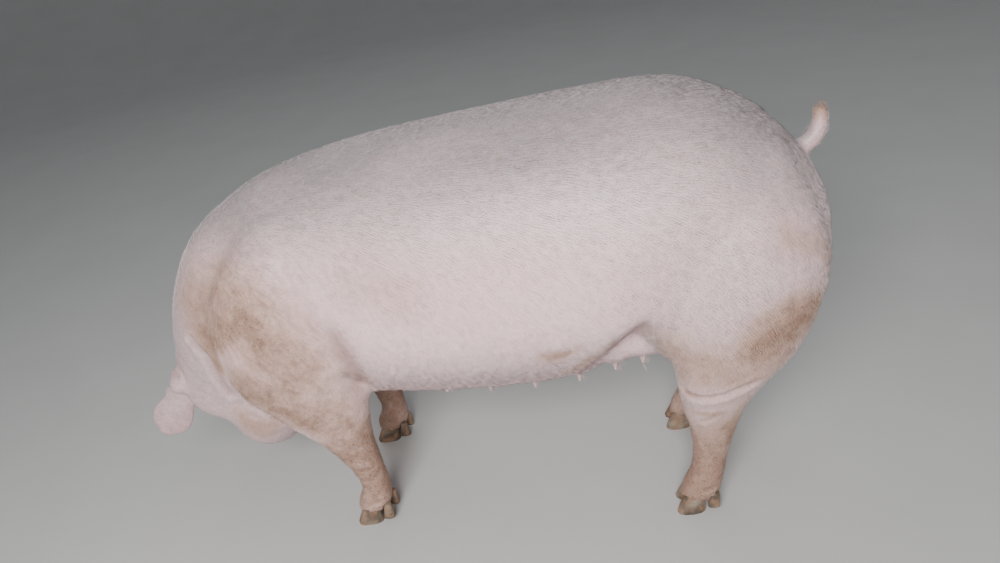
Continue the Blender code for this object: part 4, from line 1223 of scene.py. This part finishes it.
# %% Helpers for the tree
RANDOM_SOCKETS = {"FLOAT_VECTOR": 0, "FLOAT": 1, "INT": 2}


def link_all(tree, pairs):
    """Links each (output, input) pair."""
    for output, socket in pairs:
        tree.links.new(output, socket)


def named(tree, name, kind):
    """A Named Attribute node's first output of that kind."""
    node = tree.nodes.new("GeometryNodeInputNamedAttribute")
    node.data_type = kind
    node.inputs["Name"].default_value = name
    return node.outputs["Attribute"]


def random_value(tree, kind, low, high, seed):
    """A Random Value node's output of that kind, between low and high."""
    node = tree.nodes.new("FunctionNodeRandomValue")
    node.data_type = kind
    number = RANDOM_SOCKETS[kind]
    feed(tree, node.inputs[2 * number], low)
    feed(tree, node.inputs[2 * number + 1], high)
    feed(tree, node.inputs["Seed"], seed)
    return node.outputs[number]


def three_numbers(tree, **given):
    """A vector from its X, Y and Z; each is a socket or a number."""
    node = tree.nodes.new("ShaderNodeCombineXYZ")
    for axis, value in given.items():
        feed(tree, node.inputs[axis], value)
    return node.outputs[0]


def vector_node(tree, operation, a, b):
    """One Vector Math node on two vectors, or on a vector and a number for SCALE."""
    node = tree.nodes.new("ShaderNodeVectorMath")
    node.operation = operation
    feed(tree, node.inputs[0], a)
    feed(tree, node.inputs["Scale"] if operation == "SCALE" else node.inputs[1], b)
    return node.outputs[0]


print("helpers for random values of", list(RANDOM_SOCKETS))

# %% Build the tree that grows tufts
STRAYING = 0.22
SHORTEST = 0.70
LONGEST = 1.25
COAT_INPUTS = {
    "Geometry": "NodeSocketGeometry",
    "Region": "NodeSocketInt",
    "Tufts per Square Metre": "NodeSocketFloat",
    "Apart": "NodeSocketFloat",
    "Seed": "NodeSocketInt",
    "Lift": "NodeSocketFloat",
    "Patch": "NodeSocketFloat",
    "Tuft Kinds": "NodeSocketCollection",
    "Material": "NodeSocketMaterial",
}


def scatter_roots(tree, given):
    """Points spread over one region of the skin, closer where the cover is full."""
    same = tree.nodes.new("FunctionNodeCompare")
    same.data_type = "INT"
    same.operation = "EQUAL"
    compared = [socket for socket in same.inputs if socket.type == "INT"]
    scatter = tree.nodes.new("GeometryNodeDistributePointsOnFaces")
    scatter.distribute_method = "POISSON"
    link_all(tree, (
        (named(tree, "region", "INT"), compared[0]),
        (given["Region"], compared[1]),
        (given["Geometry"], scatter.inputs["Mesh"]),
        (same.outputs["Result"], scatter.inputs["Selection"]),
        (given["Apart"], scatter.inputs["Distance Min"]),
        (given["Tufts per Square Metre"], scatter.inputs["Density Max"]),
        (named(tree, "cover", "FLOAT"), scatter.inputs["Density Factor"]),
        (given["Seed"], scatter.inputs["Seed"]),
    ))
    return scatter.outputs


def turn_to_lie(tree, given, normal):
    """Stands a tuft on the skin, turns it to the lie with a little straying, and lifts its tip."""
    stray = random_value(tree, "FLOAT_VECTOR", (-STRAYING,) * 3, (STRAYING,) * 3, given["Seed"])
    toward = vector_node(tree, "ADD", named(tree, "lie", "FLOAT_VECTOR"), stray)
    upright = tree.nodes.new("FunctionNodeAlignRotationToVector")
    upright.axis = "Z"
    turned = tree.nodes.new("FunctionNodeAlignRotationToVector")
    turned.axis = "X"
    turned.pivot_axis = "Z"
    raised = random_value(tree, "FLOAT", 0.0, given["Lift"], given["Seed"])
    to_turn = tree.nodes.new("FunctionNodeEulerToRotation")
    tilted = tree.nodes.new("FunctionNodeRotateRotation")
    tilted.rotation_space = "LOCAL"
    link_all(tree, (
        (normal, upright.inputs["Vector"]),
        (upright.outputs["Rotation"], turned.inputs["Rotation"]),
        (toward, turned.inputs["Vector"]),
        (three_numbers(tree, Y=times(tree, raised, -1.0)), to_turn.inputs[0]),
        (turned.outputs["Rotation"], tilted.inputs["Rotation"]),
        (to_turn.outputs[0], tilted.inputs["Rotate By"]),
    ))
    return tilted.outputs["Rotation"]


def coat_tree():
    """The whole tree: roots, tufts turned and sized, realised, given their map and material."""
    tree = bpy.data.node_groups.new("grow_bristles", "GeometryNodeTree")
    for name, kind in COAT_INPUTS.items():
        tree.interface.new_socket(name, in_out="INPUT", socket_type=kind)
    tree.interface.new_socket("Geometry", in_out="OUTPUT", socket_type="NodeSocketGeometry")
    given = tree.nodes.new("NodeGroupInput").outputs
    result = tree.nodes.new("NodeGroupOutput")

    roots = scatter_roots(tree, given)
    stretch = random_value(tree, "FLOAT", SHORTEST, LONGEST, given["Seed"])
    length = times(tree, stretch, named(tree, "longer", "FLOAT"))
    kinds = tree.nodes.new("GeometryNodeCollectionInfo")
    kinds.inputs["Separate Children"].default_value = True
    kinds.inputs["Reset Children"].default_value = True
    pick = random_value(tree, "INT", 0, TUFT_KINDS - 1, given["Seed"])
    place = tree.nodes.new("GeometryNodeInstanceOnPoints")
    place.inputs["Pick Instance"].default_value = True
    realise = tree.nodes.new("GeometryNodeRealizeInstances")
    patch = vector_node(tree, "SCALE", named(tree, "tuft_uv", "FLOAT_VECTOR"), given["Patch"])
    store = tree.nodes.new("GeometryNodeStoreNamedAttribute")
    store.data_type = "FLOAT2"
    store.domain = "CORNER"
    store.inputs["Name"].default_value = "OFBake"
    finish = tree.nodes.new("GeometryNodeSetMaterial")
    link_all(tree, (
        (given["Tuft Kinds"], kinds.inputs["Collection"]),
        (roots["Points"], place.inputs["Points"]),
        (kinds.outputs[0], place.inputs["Instance"]),
        (pick, place.inputs["Instance Index"]),
        (turn_to_lie(tree, given, roots["Normal"]), place.inputs["Rotation"]),
        (three_numbers(tree, X=length, Y=1.0, Z=1.0), place.inputs["Scale"]),
        (place.outputs["Instances"], realise.inputs["Geometry"]),
        (realise.outputs["Geometry"], store.inputs["Geometry"]),
        (vector_node(tree, "ADD", named(tree, "hide_map", "FLOAT_VECTOR"), patch), store.inputs["Value"]),
        (store.outputs["Geometry"], finish.inputs["Geometry"]),
        (given["Material"], finish.inputs["Material"]),
        (finish.outputs["Geometry"], result.inputs["Geometry"]),
    ))
    return tree


grow = coat_tree()
print("tree", grow.name, "has", len(grow.nodes), "nodes and", len(COAT_INPUTS), "inputs")

# %% Name the regions
REGIONS = (
    "back", "rump", "flank_left", "flank_right", "underside", "neck", "head", "front_legs", "hind_legs",
)
RUMP_FROM = 0.36
SIDE_FACING = 0.62
UNDER_FROM = -0.3

flank = np.abs(normals[:, 1]) > SIDE_FACING
REGION_POINTS = {
    "flank_left": flank & (y < MIDDLE_Y),
    "flank_right": flank & (y >= MIDDLE_Y),
    "rump": x > RUMP_FROM,
    "underside": (normals[:, 2] < UNDER_FROM) & on_node("torso"),
    "neck": on_node("neck"),
    "head": on_node("head", "snout", *EARS),
    "front_legs": on_node("front_leg_left", "front_leg_right"),
    "hind_legs": on_node("hind_leg_left", "hind_leg_right"),
}
region = np.full(len(places), REGIONS.index("back"))
for name, chosen in REGION_POINTS.items():
    region[chosen] = REGIONS.index(name)
triangles = np.empty(len(skin.data.polygons) * 3, np.int32)
skin.data.polygons.foreach_get("vertices", triangles)
face_region = region[triangles.reshape(-1, 3)[:, 0]]
kept = skin.data.attributes.new("region", "INT", "FACE")
kept.data.foreach_set("value", face_region.astype(np.int32))
print({name: int((face_region == number).sum()) for number, name in enumerate(REGIONS)})

# %% Grow each region
TUFTS_PER_M2 = 40000.0
TUFT_APART = 0.0060
PATCH = 0.003
LIFT = math.radians(3.5)
FIRST_SEED = 100
SPENT = ("lie", "cover", "longer", "upright", "region", "tuft_uv", "hide_map")


def set_input(modifier, name, value):
    """Sets a modifier's input by the identifier of the socket with that name."""
    sockets = modifier.node_group.interface.items_tree
    socket = next(s for s in sockets if s.name == name and s.in_out == "INPUT")
    modifier[socket.identifier] = value


coat_triangles = 0
for number, name in enumerate(REGIONS):
    carrier = bpy.data.objects.new("coat_" + name, skin.data.copy())
    SCENE.collection.objects.link(carrier)
    modifier = carrier.modifiers.new("grow", "NODES")
    modifier.node_group = grow
    settings = {
        "Region": number,
        "Tufts per Square Metre": TUFTS_PER_M2,
        "Apart": TUFT_APART,
        "Seed": FIRST_SEED + number,
        "Lift": LIFT,
        "Patch": PATCH,
        "Tuft Kinds": tuft_kinds,
        "Material": bristle_material,
    }
    for setting, value in settings.items():
        set_input(modifier, setting, value)
    settle(carrier)
    for spent in SPENT:
        found = carrier.data.attributes.get(spent)
        if found:
            carrier.data.attributes.remove(found)
    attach(carrier, "root")
    coat_triangles += len(carrier.data.polygons)
    print(carrier.name, len(carrier.data.polygons), "triangles with the map", carrier.data.uv_layers[0].name)
for kind in list(tuft_kinds.objects):
    bpy.data.objects.remove(kind)
print("coat triangles in all:", coat_triangles)

# %% [markdown]
# ## Claws
# The horn of the claws is dull brown, mottled paler and darker, ringed by growth and smeared
# with earth. The solids have the right shape, so they stay and only get this finish.

# %% Horn on the claws
HORN_PALE = (0.300, 0.235, 0.175, 1)
HORN_DARK = (0.080, 0.058, 0.042, 1)

horn, tree, shader = new_material("claw_horn")
rings = object_noise(tree, 12.0, 2.0, (1.0, 1.0, 16.0))
clouds = object_noise(tree, 22.0, 4.0)
colour = mix_colour(tree, ramp(tree, clouds, 0.35, 0.70), HORN_DARK, HORN_PALE)
colour = mix_colour(tree, times(tree, ramp(tree, rings, 0.45, 0.62), 0.30), colour, HORN_DARK)
smear = ramp(tree, object_noise(tree, 55.0, 6.0), 0.42, 0.62)
colour = mix_colour(tree, times(tree, smear, 0.7), colour, EARTH)
tree.links.new(colour, shader.inputs["Base Color"])
roughness(tree, shader, smear, 0.45, 0.90)
bump(tree, shader, math_node(tree, "ADD", rings, smear), 0.0008, 0.6)

claws = [name for name in frame["nodes"] if "claw" in name]
for name in claws:
    materials = frame["nodes"][name].data.materials
    materials.clear()
    materials.append(horn)
print("claws:", len(claws))

# %% [markdown]
# ## Eyes
# A pig's eye is small, wet and brown, with a wide dark pupil and a clear front that bulges a little.
# A ball with a bulge on its front carries rings of colour measured from the middle of the pupil.
# Rings painted as separate discs would need less thought, but they show an edge close by.

# %% Make the eyes
IRIS_BROWN = (0.110, 0.055, 0.028, 1)
PUPIL = (0.004, 0.003, 0.003, 1)
IRIS_DARK = (0.045, 0.022, 0.012, 1)
EYE_WHITE = (0.480, 0.360, 0.320, 1)
EYE_CLEAR = 0.0004
EYE_FRONT = 0.012
PUPIL_EDGE = (0.0042, 0.0050)
IRIS_EDGE = (0.0080, 0.0092)
FRONT_BULGE = 0.05
BULGE_FROM = 0.78


def eye_finish(side, centre, looks):
    """Wet eye colours as rings round the axis it looks along."""
    made, tree, shader = new_material("eye_wet_" + side)
    place = tree.nodes.new("ShaderNodeTexCoord")
    middle = centre + looks * EYE_FRONT
    away = tree.nodes.new("ShaderNodeVectorMath")
    away.operation = "DISTANCE"
    away.inputs[1].default_value = middle
    tree.links.new(place.outputs["Object"], away.inputs[0])
    radius = away.outputs["Value"]
    fibres = object_noise(tree, 900.0, 2.0)
    iris = mix_colour(tree, fibres, IRIS_BROWN, IRIS_DARK)
    colour = mix_colour(tree, ramp(tree, radius, *PUPIL_EDGE), PUPIL, iris)
    colour = mix_colour(tree, ramp(tree, radius, *IRIS_EDGE), colour, EYE_WHITE)
    tree.links.new(colour, shader.inputs["Base Color"])
    shader.inputs["Roughness"].default_value = 0.06
    shader.inputs["Coat Weight"].default_value = 1.0
    return made


for name, centre in EYES.items():
    hand = 1 if name == "left" else -1
    looks = (LEFTWARD * hand * 0.93 + FORWARD * 0.30 + CROWN * 0.12).normalized()
    low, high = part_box("eye_" + name)
    radius = (high.z - low.z) / 2 - EYE_CLEAR
    body = bmesh.new()
    bmesh.ops.create_uvsphere(body, u_segments=40, v_segments=28, radius=radius)
    turn = looks.to_track_quat("Z", "Y").to_matrix()
    for vert in body.verts:
        bulge = max(0.0, vert.co.normalized().z - BULGE_FROM) / (1 - BULGE_FROM)
        vert.co = turn @ (vert.co * (1 + FRONT_BULGE * bulge)) + centre
    for face in body.faces:
        face.smooth = True
    mesh = bpy.data.meshes.new("eyeball_" + name)
    body.to_mesh(mesh)
    body.free()
    eyeball = bpy.data.objects.new("eyeball_" + name, mesh)
    SCENE.collection.objects.link(eyeball)
    mesh.materials.append(eye_finish(name, centre, looks))
    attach(eyeball, "root")
    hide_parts("eye_" + name)
    print("the", name, "eye looks along", [round(v, 2) for v in looks])
